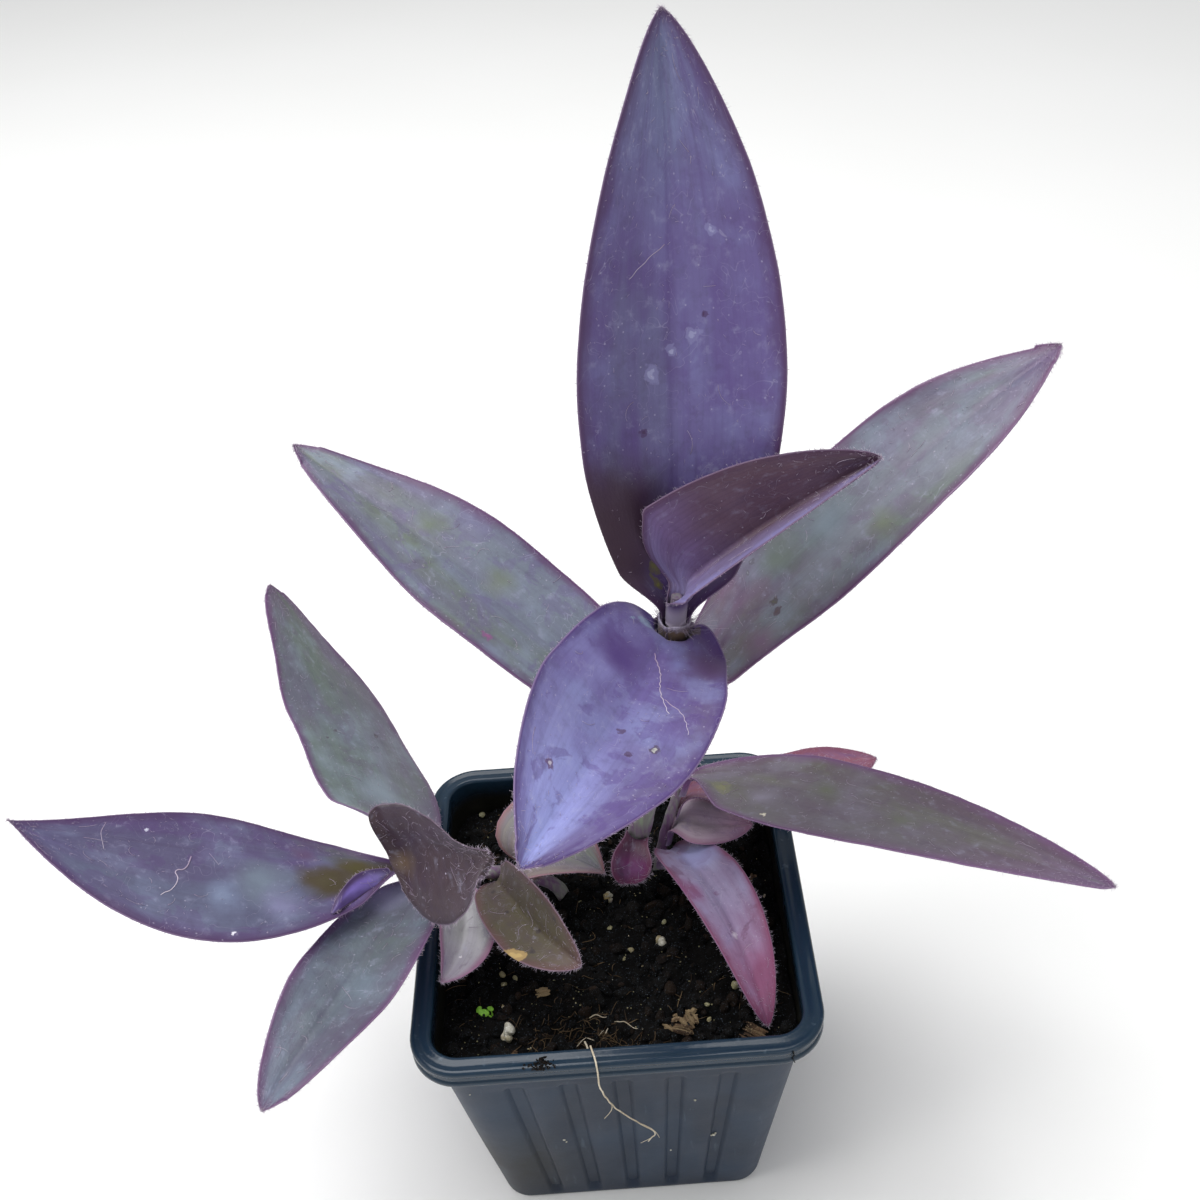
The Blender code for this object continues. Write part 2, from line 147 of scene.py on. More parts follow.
@dataclass
class Shape:
    """A mesh in the making: points in millimetres, faces, and values noted at each point."""

    points: Array
    faces: list[Face]
    notes: dict[str, Array] = field(default_factory=dict)

    @classmethod
    def joined(cls, shapes: list["Shape"]) -> "Shape":
        """Join several shapes to one.

        Args:
            shapes: shapes that note the same values.

        Returns:
            One shape with all their points and faces.
        """
        faces: list[Face] = []
        count = 0
        for shape in shapes:
            faces += [tuple(count + corner for corner in face) for face in shape.faces]
            count += len(shape.points)
        points = np.concatenate([shape.points for shape in shapes])
        notes = {name: np.concatenate([shape.notes[name] for shape in shapes]) for name in shapes[0].notes}
        return cls(points, faces, notes)

    def toned(self, tone: float) -> "Shape":
        """The same shape, with a tone as its only note."""
        return Shape(self.points, self.faces, {"tone": np.full(len(self.points), tone)})

    def piece(self, name: str, material: bpy.types.Material, slot: str, smooth: bool = True,
              crease: float | None = None) -> Piece:
        """Make the shape a piece of the object.

        Args:
            name: the piece's name.
            material: its finish.
            slot: not used.
            smooth: whether its faces are shaded smooth.
            crease: angle in degrees above which an edge stays sharp, if any does.

        Returns:
            The new object, riding on the body.
        """
        mesh = bpy.data.meshes.new(name)
        mesh.from_pydata((self.points * MM).tolist(), [], self.faces)
        for note, values in self.notes.items():
            kind, key = ("FLOAT", "value") if values.ndim == 1 else ("FLOAT_VECTOR", "vector")
            attribute = mesh.attributes.new(note, kind, "POINT")
            attribute.data.foreach_set(key, values.astype(np.float32).ravel())
        mesh.polygons.foreach_set("use_smooth", [smooth] * len(mesh.polygons))
        if crease is not None:
            mesh.set_sharp_from_angle(angle=radians(crease))
        mesh.materials.append(material)
        made = put_in_scene(name, mesh)
        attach(made, "root")
        return made


def unit(rows: Array) -> Array:
    """Vectors of the same directions and of length 1."""
    return rows / np.linalg.norm(rows, axis=-1, keepdims=True)


def ease(share: Array) -> Array:
    """A smooth step from 0 to 1."""
    share = np.clip(share, 0.0, 1.0)
    return share * share * (3 - 2 * share)


def smooth_curve(path: Array | list[Point] | tuple[Point, ...], steps: int) -> Array:
    """Points of a smooth curve through a path.

    Args:
        path: the places it goes through.
        steps: how many points lie between two of them.

    Returns:
        The points, one row each.
    """
    guide = np.array(path, float)
    guide = np.vstack([2 * guide[0] - guide[1], guide, 2 * guide[-1] - guide[-2]])
    points = []
    for place in range(1, len(guide) - 2):
        a, b, c, d = guide[place - 1:place + 3]
        for t in np.arange(steps) / steps:
            points.append(0.5 * (2 * b + (c - a) * t + (2 * a - 5 * b + 4 * c - d) * t**2
                                 + (3 * b - a - 3 * c + d) * t**3))
    points.append(guide[-2])
    return np.array(points)


def wall_faces(rings: int, around: int) -> list[Face]:
    """Faces of a wall of closed rings of points, one ring above the other.

    Args:
        rings: how many rings there are.
        around: how many points each has.

    Returns:
        The faces.
    """
    faces = []
    for low in range(0, (rings - 1) * around, around):
        for place in range(around):
            beside = (place + 1) % around
            faces.append((low + place, low + beside, low + around + beside, low + around + place))
    return faces


def thread(points: Array, radii: Array, sides: int = 6) -> Shape:
    """A round rod along points, closed at both ends.

    Args:
        points: places along its middle.
        radii: its radius at each place.
        sides: points round it.

    Returns:
        The rod, with the share of its length noted as thread_share.
    """
    count = len(points)
    along = unit(np.gradient(points, axis=0))
    across = np.zeros_like(points)
    start = np.array([0.0, 0.0, 1.0]) if abs(along[0, 2]) < 0.9 else np.array([1.0, 0.0, 0.0])
    across[0] = unit(np.cross(along[0], start))
    for place in range(1, count):
        across[place] = unit(across[place - 1] - along[place] * (across[place - 1] @ along[place]))
    beside = np.cross(along, across)
    turns = np.arange(sides) * 2 * pi / sides
    rings = points[:, None] + np.asarray(radii)[:, None, None] * (
        np.cos(turns)[None, :, None] * across[:, None] + np.sin(turns)[None, :, None] * beside[:, None])
    foot, tip = tuple(reversed(range(sides))), tuple(range((count - 1) * sides, count * sides))
    share = np.repeat(np.linspace(0, 1, count), sides)
    return Shape(rings.reshape(-1, 3), [foot, *wall_faces(count, sides), tip], {"thread_share": share})


@cache
def ball(detail: int) -> tuple[Array, list[Face]]:
    """A ball of radius 1, made of triangles.

    Args:
        detail: how often it is divided.

    Returns:
        Its points and its faces.
    """
    made = bmesh.new()
    bmesh.ops.create_icosphere(made, subdivisions=detail, radius=1.0)
    points = np.array([tuple(vert.co) for vert in made.verts])
    faces = [tuple(vert.index for vert in face.verts) for face in made.faces]
    made.free()
    return points, faces


def lump(centre: Array, sizes: Array, turn: Array, detail: int, seed: int,
         rough: float = 0.25, tone: float = 0.0) -> Shape:
    """An uneven lump.

    Args:
        centre: its middle.
        sizes: half its length, width and height.
        turn: its turn about the three axes, in radians.
        detail: how often the ball it starts from is divided.
        seed: seed of its unevenness.
        rough: how far the surface wanders, as a share of its size.
        tone: a number noted as tone at all its points.

    Returns:
        The lump.
    """
    points, faces = ball(detail)
    swell = 1 + rough * SoftNoise(11).at(points + seed * 3.7, 0.9)[:, None]
    matrix = np.array((Matrix.Rotation(turn[2], 3, "Z") @ Matrix.Rotation(turn[1], 3, "Y")
                       @ Matrix.Rotation(turn[0], 3, "X")))
    return Shape((points * swell * sizes) @ matrix.T + centre, faces).toned(tone)


# Finishes

class Finish:
    """A finish: what makes one kind of surface look as it does."""

    def shader(self, add: AddNode) -> bpy.types.Node:
        """Add the finish's nodes and return its shader, which every finish does in its own way."""
        raise NotImplementedError

    def material(self, name: str) -> bpy.types.Material:
        """Make a material of the finish.

        Args:
            name: the material's name.

        Returns:
            The material.
        """
        made = bpy.data.materials.new(name)
        made.use_nodes = True
        made.node_tree.nodes.clear()
        add = partial(add_node, made.node_tree)
        add("OutputMaterial", {}, {0: self.shader(add)})
        return made


class Measure(Enum):
    """What a layer of leaf colour follows."""

    ALONG = "share of the length, wandering a little"
    SIDE = "from one margin, -1, to the other, 1"
    BAND = "millimetres from the margin, wandering"
    EDGE = "millimetres from the margin"
    SHADES = "soft patches of 12 mm"
    GREENS = "long patches of 22 mm"
    # The wax patches' pale blue-grey is partly painted sheen.
    BLOOM_AND_SHEEN = "patches of wax of 16 mm"
    RUBBED = "ragged patches of 9 mm where the wax is rubbed off"
    MOTTLE = "fine patches of 2.6 mm"
    BANDS = "lengthwise bands of 6 mm"
    STREAKS = "lengthwise streaks of 2 mm"
    VEINS = "parallel veins"
    SPECKS = "small dots"
    SCUFFS = "thin wandering lines"


@dataclass(frozen=True)
class Layer:
    """A colour laid over those before it, from where a measure has one value to where it has another."""

    colour: str
    measure: Measure
    start: float
    end: float
    strength: float = 1.0


@dataclass(frozen=True)
class Mark:
    """A scar, spot, water mark or patch of painted light or shade on a blade: its place and size in
    millimetres, and its two colours.
    """

    across: float
    along: float
    size: float
    rim: str
    core: str
    strength: float = 0.8


@dataclass(frozen=True)
class WaxyLeaf(Finish):
    """Living leaf of a spiderwort: fleshy, with a grey coat of wax over purple sap.

    The wax scatters light softly, so highlights are broad and pale, and where it is rubbed or wet the
    purple shows through. Veins run lengthwise about 1.2 mm apart. Leaf wax has an IOR near 1.45.
    The seed sets one leaf's patches apart from another's, and a mark up to scar_size is a scar.
    The pale blue-grey wax patches are partly the wax's own colour and partly painted sheen.
    """

    ground: str
    layers: tuple[Layer, ...]
    marks: tuple[Mark, ...] = ()
    under: str = "#6a4f7d"
    sheath: str = "#857a92"
    rim: str = "#a994b0"
    roughness: float = 0.46
    vein_gap: float = 1.2
    vein_mark: float = 0.04
    specks: float = 0.3
    scar_size: float = 3.6
    seed: int = 0

    def shader(self, add: AddNode) -> bpy.types.Node:
        """Add the leaf's nodes: what its colours follow, the colours, then relief and gloss.

        Args:
            add: adds a node to the material.

        Returns:
            The shader.
        """
        place = add("Attribute", {"attribute_name": "blade_mm"}).outputs["Vector"]
        share = add("Attribute", {"attribute_name": "blade_share"}).outputs["Vector"]
        _, up, inside = add("SeparateXYZ", {}, {0: place}).outputs
        up_share, side_share, upper = add("SeparateXYZ", {}, {0: share}).outputs
        flat, long, thin = (add("VectorMath", {"operation": "MULTIPLY", 1: (1, drawn, 0)}, {0: place})
                            for drawn in (1, 0.4, 0.05))
        noise = {"noise_dimensions": "4D", "Detail": 3.0, "Roughness": 0.55}
        # Scales are 1 / size in millimetres, because the blade's coordinates are millimetres. Each row
        # holds the coordinates, the size, a number that sets the noises apart, and other settings.
        # The third noise lays the wax patches, whose pale colour is partly painted sheen.
        shades, greens, bloom_and_sheen, rubbed, mottle, bands, streaks, lines, frayed, grain = (
            add("TexNoise", {**noise, "Scale": 1 / size, "W": 3.1 * self.seed + shift, **more}, {0: source})
            for source, size, shift, more in (
                (long, 12, 0, {}), (long, 22, 40, {}), (flat, 16, 80, {"Detail": 6.0}),
                (flat, 9, 50, {"Detail": 9.0, "Roughness": 0.6, "Distortion": 0.7}),
                (flat, 2.6, 30, {"Detail": 5.0, "Roughness": 0.6}), (thin, 6, 90, {}), (thin, 2, 20, {}),
                (flat, 9, 60, {"Detail": 2.0, "Distortion": 1.2}), (long, 4, 7, {}),
                (place, 0.6, 0, {"Detail": 2.0})))
        # A wave's bands repeat every 0.314 / scale, so this gives veins the real gap apart.
        veins = add("TexWave", {"Scale": 0.314 / self.vein_gap, "Distortion": 2.5, "Detail": 2.0,
                                "Detail Scale": 0.4}, {0: thin})
        dots = add("TexVoronoi", {"Scale": 1 / 2.2, "Randomness": 1.0}, {0: flat})
        scuffs = add("Math", {"operation": "SUBTRACT", 1: 0.5}, {0: lines})
        scuffs = add("Math", {"operation": "ABSOLUTE"}, {0: scuffs})
        wander = add("Math", {"operation": "SUBTRACT", 1: 0.5}, {0: shades})
        along = add("Math", {"operation": "MULTIPLY_ADD", 1: 0.35}, {0: wander, 2: up_share})
        side = add("Math", {"operation": "MULTIPLY_ADD", 1: 1.2}, {0: wander, 2: side_share})
        band = add("Math", {"operation": "MULTIPLY_ADD", 1: -5.0}, {0: frayed, 2: inside})
        band = add("Math", {"operation": "ADD", 1: 2.5}, {0: band})
        measures = {
            Measure.ALONG: along, Measure.SIDE: side, Measure.BAND: band, Measure.EDGE: inside,
            Measure.SHADES: shades, Measure.GREENS: greens, Measure.BLOOM_AND_SHEEN: bloom_and_sheen, Measure.RUBBED: rubbed,
            Measure.MOTTLE: mottle, Measure.BANDS: bands, Measure.STREAKS: streaks, Measure.VEINS: veins,
            Measure.SPECKS: dots, Measure.SCUFFS: scuffs,
        }
        wear = (
            Layer("#2c1c38", Measure.VEINS, 0.35, 0.0, self.vein_mark),
            Layer("#c9c2d8", Measure.SPECKS, 0.1, 0.06, self.specks),
            Layer("#b9b5cc", Measure.SCUFFS, 0.003, 0.0, 0.25),
            Layer(self.rim, Measure.EDGE, 0.25, 0.05, 0.3),
        )
        steps = [(measures[layer.measure], layer.colour, layer.start, layer.end, layer.strength)
                 for layer in self.layers + wear]
        # Each place is shifted by a part of a mark's size, so the mark's outline is uneven. A small scar is
        # ragged with a clear edge, and a broad stain or patch of painted light or shade is smoother and fades
        # out.
        for mark in self.marks:
            ragged, edge = (2.6, 0.75) if mark.size < self.scar_size else (1.2, 0.3)
            reach = ragged * mark.size
            shift = add("TexNoise", {"Scale": 0.8 / mark.size, "Detail": 4.0}, {0: flat}).outputs["Color"]
            shifted = add("VectorMath", {"operation": "MULTIPLY_ADD", 1: (reach, reach, 0.0)},
                          {0: shift, 2: flat})
            centre = (mark.across + reach / 2, mark.along + reach / 2, 0.0)
            away = add("VectorMath", {"operation": "DISTANCE", 1: centre}, {0: shifted})
            inner = mark.size * 0.45
            steps.append((away, mark.rim, mark.size, mark.size * edge, mark.strength))
            steps.append((away, mark.core, inner, inner * (edge - 0.15), mark.strength))
        paint = add("RGB")
        paint.outputs[0].default_value = srgb(self.ground)
        for source, colour, start, end, strength in steps:
            mask = add("MapRange", {"interpolation_type": "SMOOTHSTEP", 1: start, 2: end, 4: strength},
                       {0: source})
            paint = add("Mix", {"data_type": "RGBA", 7: srgb(colour)}, {0: mask, 6: paint})
        # The patches show a little on the underside too.
        face = add("MapRange", {3: 0.25}, {0: upper})
        paint = add("Mix", {"data_type": "RGBA", 6: srgb(self.under)}, {0: face, 7: paint})
        clasped = add("MapRange", {"interpolation_type": "SMOOTHSTEP", 1: 1.5, 2: -2.0, 4: 0.85}, {0: up})
        paint = add("Mix", {"data_type": "RGBA", 7: srgb(self.sheath)}, {0: clasped, 6: paint})
        gloss = add("MapRange", {1: 0.3, 2: 0.7, 3: self.roughness - 0.07, 4: self.roughness + 0.1},
                    {0: bloom_and_sheen})
        height = add("Math", {"operation": "MULTIPLY_ADD", 1: 0.1}, {0: veins, 2: grain})
        bump = add("Bump", {"Strength": 0.4, "Distance": 0.00012}, {"Height": height})
        return add("BsdfPrincipled", {
            "IOR": 1.45, "Sheen Weight": 0.15, "Sheen Roughness": 0.4, "Sheen Tint": srgb("#d8d4ea"),
            "Coat Weight": 0.06, "Coat Roughness": 0.35,
        }, {"Base Color": paint, "Roughness": gloss, "Normal": bump})


@dataclass(frozen=True)
class PlantHair(Finish):
    """Fine hairs of a spiderwort: single cells full of air, so they read as white, but darker at the foot."""

    colour: str = "#cfc4d0"
    foot: str = "#9a86a0"

    def shader(self, add: AddNode) -> bpy.types.Node:
        """Add the hairs' nodes.

        Args:
            add: adds a node to the material.

        Returns:
            The shader.
        """
        share = add("Attribute", {"attribute_name": "thread_share"}).outputs["Fac"]
        paint = add("Mix", {"data_type": "RGBA", 6: srgb(self.foot), 7: srgb(self.colour)}, {0: share})
        return add("BsdfPrincipled", {"IOR": 1.45, "Roughness": 0.5}, {"Base Color": paint})


@cache
def leaf_hairs() -> bpy.types.Material:
    """The one material that all the hairs share."""
    return PlantHair().material("leaf_hairs")


@dataclass(frozen=True)
class FleshyStem(Finish):
    """Juicy stem with a thin skin: pale green, flushed mauve, with fine streaks lengthwise."""

    green: str = "#8f9b86"
    mauve: str = "#76587a"

    def shader(self, add: AddNode) -> bpy.types.Node:
        """Add the stem's nodes.

        Args:
            add: adds a node to the material.

        Returns:
            The shader.
        """
        where = add("TexCoord").outputs["Object"]
        # Streaks about 0.8 mm wide and ten times as long
        drawn = add("VectorMath", {"operation": "MULTIPLY", 1: (1, 1, 0.1)}, {0: where})
        streaks = add("TexNoise", {"Scale": 1250.0, "Detail": 3.0}, {0: drawn})
        patches = add("TexNoise", {"Scale": 90.0, "Detail": 2.0}, {0: where})
        both = add("Math", {"operation": "MULTIPLY_ADD", 1: 0.6}, {0: streaks, 2: patches})
        mask = add("MapRange", {1: 0.62, 2: 0.95}, {0: both})
        paint = add("Mix", {"data_type": "RGBA", 6: srgb(self.green), 7: srgb(self.mauve)}, {0: mask})
        bump = add("Bump", {"Strength": 0.4, "Distance": 0.0002}, {"Height": streaks})
        return add("BsdfPrincipled", {"IOR": 1.4, "Roughness": 0.42, "Sheen Weight": 0.2},
                   {"Base Color": paint, "Normal": bump})


@dataclass(frozen=True)
class MouldedPolypropylene(Finish):
    """Recycled polypropylene, thin and injection moulded: satin, with soft flow marks and dust.

    Its IOR is 1.49. The mould leaves a fine grain, and handling leaves dust and pale scuffs.
    The rim's paler colour is painted reflection, and the inner walls carry painted shade.
    """

    colour: str = "#112034"
    flow: str = "#192c42"
    # Paler, bluer colour of the rim band: painted reflection.
    rim: str = "#1a2e3f"
    dust: str = "#464d50"
    # Near-black of the inner walls by the soil: painted shade, with a little soil in it.
    earth: str = "#2c2617"
    damp: str = "#12120c"
    scuff: str = "#6f8494"

    def shader(self, add: AddNode) -> bpy.types.Node:
        """Add the pot's nodes.

        Args:
            add: adds a node to the material.

        Returns:
            The shader.
        """
        where = add("TexCoord").outputs["Object"]
        up = add("SeparateXYZ", {}, {0: where}).outputs[2]
        flow = add("TexNoise", {"Scale": 45.0, "Detail": 3.0, "Distortion": 0.6}, {0: where})
        flowed = add("MapRange", {1: 0.35, 2: 0.65}, {0: flow})
        # The rim band, above 73 mm, is smoother than the body, and its paler, bluer colour is painted
        # reflection on its upturned faces.
        rim_and_sheen = add("MapRange", {1: 0.0725, 2: 0.0738}, {0: up})
        # Dust lies in soft clouds about 20 mm across, and its specks are 0.5 mm.
        clouds = add("TexNoise", {"Scale": 60.0, "Detail": 7.0, "Roughness": 0.7}, {0: where})
        specks = add("TexNoise", {"Scale": 1900.0, "Detail": 2.0}, {0: where})
        dusty = add("Math", {"operation": "MULTIPLY"}, {0: clouds, 1: specks})
        dusty = add("MapRange", {1: 0.26, 2: 0.5, 4: 0.15}, {0: dusty})
        # Dried earth on the body's front left corner, from the foot to about two thirds of its height
        away = add("VectorMath", {"operation": "DISTANCE", 1: (-0.036, -0.036, 0.018)}, {0: where})
        near = add("MapRange", {"interpolation_type": "SMOOTHSTEP", 1: 0.034, 2: 0.008}, {0: away})
        caked = add("Math", {"operation": "MULTIPLY"}, {0: near, 1: clouds})
        # The inner walls, whose faces look towards the pot's middle, are darkened near the soil: painted
        # shade inside the pot, with a little soil on them.
        level = add("VectorMath", {"operation": "MULTIPLY", 1: (1, 1, 0)}, {0: where})
        facing = add("NewGeometry").outputs["Normal"]
        outward = add("VectorMath", {"operation": "DOT_PRODUCT"}, {0: level, 1: facing})
        inner = add("MapRange", {1: -0.025, 2: -0.037}, {0: outward})
        low = add("MapRange", {1: 0.0765, 2: 0.0715}, {0: up})
        inner_shade_and_soil = add("Math", {"operation": "MULTIPLY"}, {0: inner, 1: low})
        # Pale rubs run up and down the sides.
        drawn = add("VectorMath", {"operation": "MULTIPLY", 1: (1, 1, 0.12)}, {0: where})
        rubs = add("TexNoise", {"Scale": 500.0, "Detail": 4.0}, {0: drawn})
        scuffed = add("MapRange", {1: 0.66, 2: 0.8, 4: 0.3}, {0: rubs})
        paint = add("RGB")
        paint.outputs[0].default_value = srgb(self.colour)
        for mask, colour in ((flowed, self.flow), (rim_and_sheen, self.rim), (dusty, self.dust), (caked, self.earth),
                             (inner_shade_and_soil, self.damp), (scuffed, self.scuff)):
            paint = add("Mix", {"data_type": "RGBA", 7: srgb(colour)}, {0: mask, 6: paint})
        matt = add("MapRange", {1: 0.2, 2: 0.8, 3: 0.38, 4: 0.56}, {0: clouds})
        gloss = add("Math", {"operation": "MULTIPLY_ADD", 1: -0.25}, {0: rim_and_sheen, 2: matt})
        height = add("Math", {"operation": "MULTIPLY_ADD", 1: 0.3}, {0: specks, 2: rubs})
        bump = add("Bump", {"Strength": 0.3, "Distance": 0.00015}, {"Height": height})
        return add("BsdfPrincipled", {"IOR": 1.49, "Specular IOR Level": 0.36},
                   {"Base Color": paint, "Roughness": gloss, "Normal": bump})


@dataclass(frozen=True)
class Crumbly(Finish):
    """A loose, dry or damp natural stuff: two tones in grains, dull, with a rough surface.

    Soil, bark, grit and dry root differ in their tones, grain size and dullness. Where there is a
    tone_colour, it shows as strongly as the tone noted at a point.
    """

    dark: str
    light: str
    fleck: str
    grain_mm: float
    roughness: float
    relief_mm: float
    tone_colour: str | None = None
    shine: float = 0.3

    def shader(self, add: AddNode) -> bpy.types.Node:
        """Add the stuff's nodes.

        Args:
            add: adds a node to the material.

        Returns:
            The shader.
        """
        where = add("TexCoord").outputs["Object"]
        # The object's coordinates are metres, so a grain of 1 mm has the scale 1000.
        scale = 1000 / self.grain_mm
        grains = add("TexNoise", {"Scale": scale, "Detail": 6.0, "Roughness": 0.7}, {0: where})
        flecks = add("TexNoise", {"Scale": scale * 2.5, "Detail": 2.0}, {0: where})
        patches = add("TexNoise", {"Scale": scale / 7, "Detail": 2.0}, {0: where})
        both = add("Math", {"operation": "MULTIPLY"}, {0: grains, 1: patches})
        layers = [(self.light, add("MapRange", {1: 0.16, 2: 0.38}, {0: both}))]
        if self.tone_colour is not None:
            layers.append((self.tone_colour, add("Attribute", {"attribute_name": "tone"}).outputs["Fac"]))
        layers.append((self.fleck, add("MapRange", {1: 0.63, 2: 0.72}, {0: flecks})))
        paint = add("RGB")
        paint.outputs[0].default_value = srgb(self.dark)
        for colour, mask in layers:
            paint = add("Mix", {"data_type": "RGBA", 7: srgb(colour)}, {0: mask, 6: paint})
        bump = add("Bump", {"Strength": 0.8, "Distance": self.relief_mm * MM}, {"Height": grains})
        return add("BsdfPrincipled", {
            "IOR": 1.5, "Roughness": self.roughness, "Specular IOR Level": self.shine,
        }, {"Base Color": paint, "Normal": bump})


class GroundStuff(Enum):
    """Finishes of what lies in the pot."""

    PEAT = Crumbly("#020202", "#12100f", "#444c55", 0.9, 0.92, 0.8, shine=0.15)
    CRUMB = Crumbly("#020202", "#110f0e", "#56606a", 0.6, 0.9, 0.5, "#2e2117", 0.18)
    FIBRE = Crumbly("#1f150e", "#46341f", "#6f5b41", 0.6, 0.85, 0.1, "#75624a")
    BARK = Crumbly("#2a1d14", "#6f5640", "#b7a080", 0.8, 0.85, 0.4, "#8d7a5c")
    PERLITE = Crumbly("#8a8772", "#d8d6ca", "#ffffff", 0.8, 0.6, 0.1, "#a08a58")
    GRIT = Crumbly("#6a6248", "#b5ab82", "#f4f0e0", 0.7, 0.6, 0.2, "#8b8a68")
    ROOT = Crumbly("#b9ab92", "#e2d8c4", "#f4efe4", 0.8, 0.75, 0.05)
    SPROUT = Crumbly("#6fae32", "#9fd552", "#c9ee86", 0.9, 0.45, 0.05)

    def piece(self, name: str, shapes: list[Shape], slot: str = "soil", **more: Any) -> Piece:
        """Join shapes to one piece of this finish.

        Args:
            name: the piece's name.
            shapes: what it is made of.
            slot: passed on to the shape's piece.
            more: how its faces are shaded, as for a shape's own piece.

        Returns:
            The piece.
        """
        return Shape.joined(shapes).piece(name, self.value.material(name), slot, **more)


@dataclass(frozen=True)
class SheathSkin(Finish):
    """Thin skin of a leaf's sheath: lavender grey and striped at its mouth, and dark brown low down,
    which is painted shade where it stands inside the front leaf's sheath.

    It is a few cells thick, so it looks soft and a little waxy. Its IOR is that of a leaf.
    """

    # The foot's dark brown is painted shade.
    foot: str = "#3a2814"
    middle: str = "#77624c"
    mouth: str = "#a79fb2"
    stripe: str = "#55496a"

    def shader(self, add: AddNode) -> bpy.types.Node:
        """Add the sheath's nodes.

        Args:
            add: adds a node to the material.

        Returns:
            The shader.
        """
        share = add("Attribute", {"attribute_name": "thread_share"}).outputs["Fac"]
        where = add("TexCoord").outputs["Object"]
        # Stripes about 0.5 mm wide run up the sheath.
        drawn = add("VectorMath", {"operation": "MULTIPLY", 1: (1, 1, 0.08)}, {0: where})
        stripes = add("TexNoise", {"Scale": 1700.0, "Detail": 2.0}, {0: drawn})
        patches = add("TexNoise", {"Scale": 500.0, "Detail": 3.0}, {0: where})
        wander = add("Math", {"operation": "MULTIPLY_ADD", 1: 0.3}, {0: patches, 2: share})
        paint = add("RGB")
        paint.outputs[0].default_value = srgb(self.foot)
        for source, start, end, colour, strength in (
                (wander, 0.7, 0.95, self.middle, 1.0), (wander, 0.98, 1.15, self.mouth, 1.0),
                (stripes, 0.5, 0.62, self.stripe, 0.55)):
            mask = add("MapRange", {1: start, 2: end, 4: strength}, {0: source})
            paint = add("Mix", {"data_type": "RGBA", 7: srgb(colour)}, {0: mask, 6: paint})
        bump = add("Bump", {"Strength": 0.4, "Distance": 0.0002}, {"Height": stripes})
        return add("BsdfPrincipled", {"IOR": 1.45, "Roughness": 0.5, "Sheen Weight": 0.2},
                   {"Base Color": paint, "Normal": bump})


@dataclass(frozen=True)
class PaintedBoard(Finish):
    """Matt painted board under the pot, with a faint mottle so that it isn't one flat colour."""

    colour: str = "#f1f1ef"
    mottle: str = "#f6f6f5"

    def shader(self, add: AddNode) -> bpy.types.Node:
        """Add the board's nodes.

        Args:
            add: adds a node to the material.

        Returns:
            The shader.
        """
        mottle = add("TexNoise", {"Scale": 4.0}, {0: add("TexCoord").outputs["Object"]})
        paint = add("Mix", {"data_type": "RGBA", 6: srgb(self.colour), 7: srgb(self.mottle)}, {0: mottle})
        return add("BsdfPrincipled", {"Roughness": 0.85}, {"Base Color": paint})


def tones(ground: str, along: list[tuple[float, float, str]], minus: tuple[str, float] = ("#000000", 0.0),
          plus: tuple[str, float] = ("#000000", 0.0), green: tuple[str, float] = ("#000000", 0.0),
          purple: tuple[str, float] = ("#5e4a80", 0.35), bloom_and_sheen: tuple[str, float] = ("#8f97b0", 0.35),
          margin: tuple[str, float] = ("#5e3a66", 1.5), rubbed: float = 0.3, **more: Any) -> WaxyLeaf:
    """Put together one leaf's finish.

    Args:
        ground: its main colour.
        along: starts, ends and colours laid by the share of the blade's length.
        minus: colour and strength towards the margin on the side of negative places.
        plus: colour and strength towards the other margin.
        green: colour and strength of the green patches.
        purple: colour and strength of the patches where the sap shows.
        bloom_and_sheen: colour and strength of the waxy patches, partly the wax's own colour and partly
            painted sheen.
        margin: colour of the margin, and how many millimetres it reaches in.
        rubbed: how strongly the sap's colour shows where the wax is rubbed off.
        more: other fields of the finish.

    Returns:
        The finish.
    """
    laid = (
        (minus, Measure.SIDE, 0.1, -0.8), (plus, Measure.SIDE, -0.1, 0.8), (green, Measure.GREENS, 0.47, 0.6),
        # The wax patches' colour is partly painted sheen.
        (purple, Measure.SHADES, 0.48, 0.66), (bloom_and_sheen, Measure.BLOOM_AND_SHEEN, 0.48, 0.66),
        ((purple[0], 0.6 * purple[1]), Measure.BANDS, 0.5, 0.66),
        ((purple[0], rubbed), Measure.RUBBED, 0.53, 0.58), (("#3f3350", 0.25), Measure.STREAKS, 0.48, 0.25),
        (("#3f3350", 0.22), Measure.MOTTLE, 0.5, 0.3), (("#b4b6d2", 0.22), Measure.MOTTLE, 0.54, 0.75),
        ((margin[0], 0.7), Measure.BAND, margin[1] + 1.5, 0.0),
        ((margin[0], 0.85), Measure.EDGE, margin[1] * 0.6, 0.2),
    )
    layers = [Layer(colour, Measure.ALONG, start, end) for start, end, colour in along]
    for (colour, strength), measure, start, end in laid:
        layers.append(Layer(colour, measure, start, end, strength))
    return WaxyLeaf(ground, tuple(layers), **more)


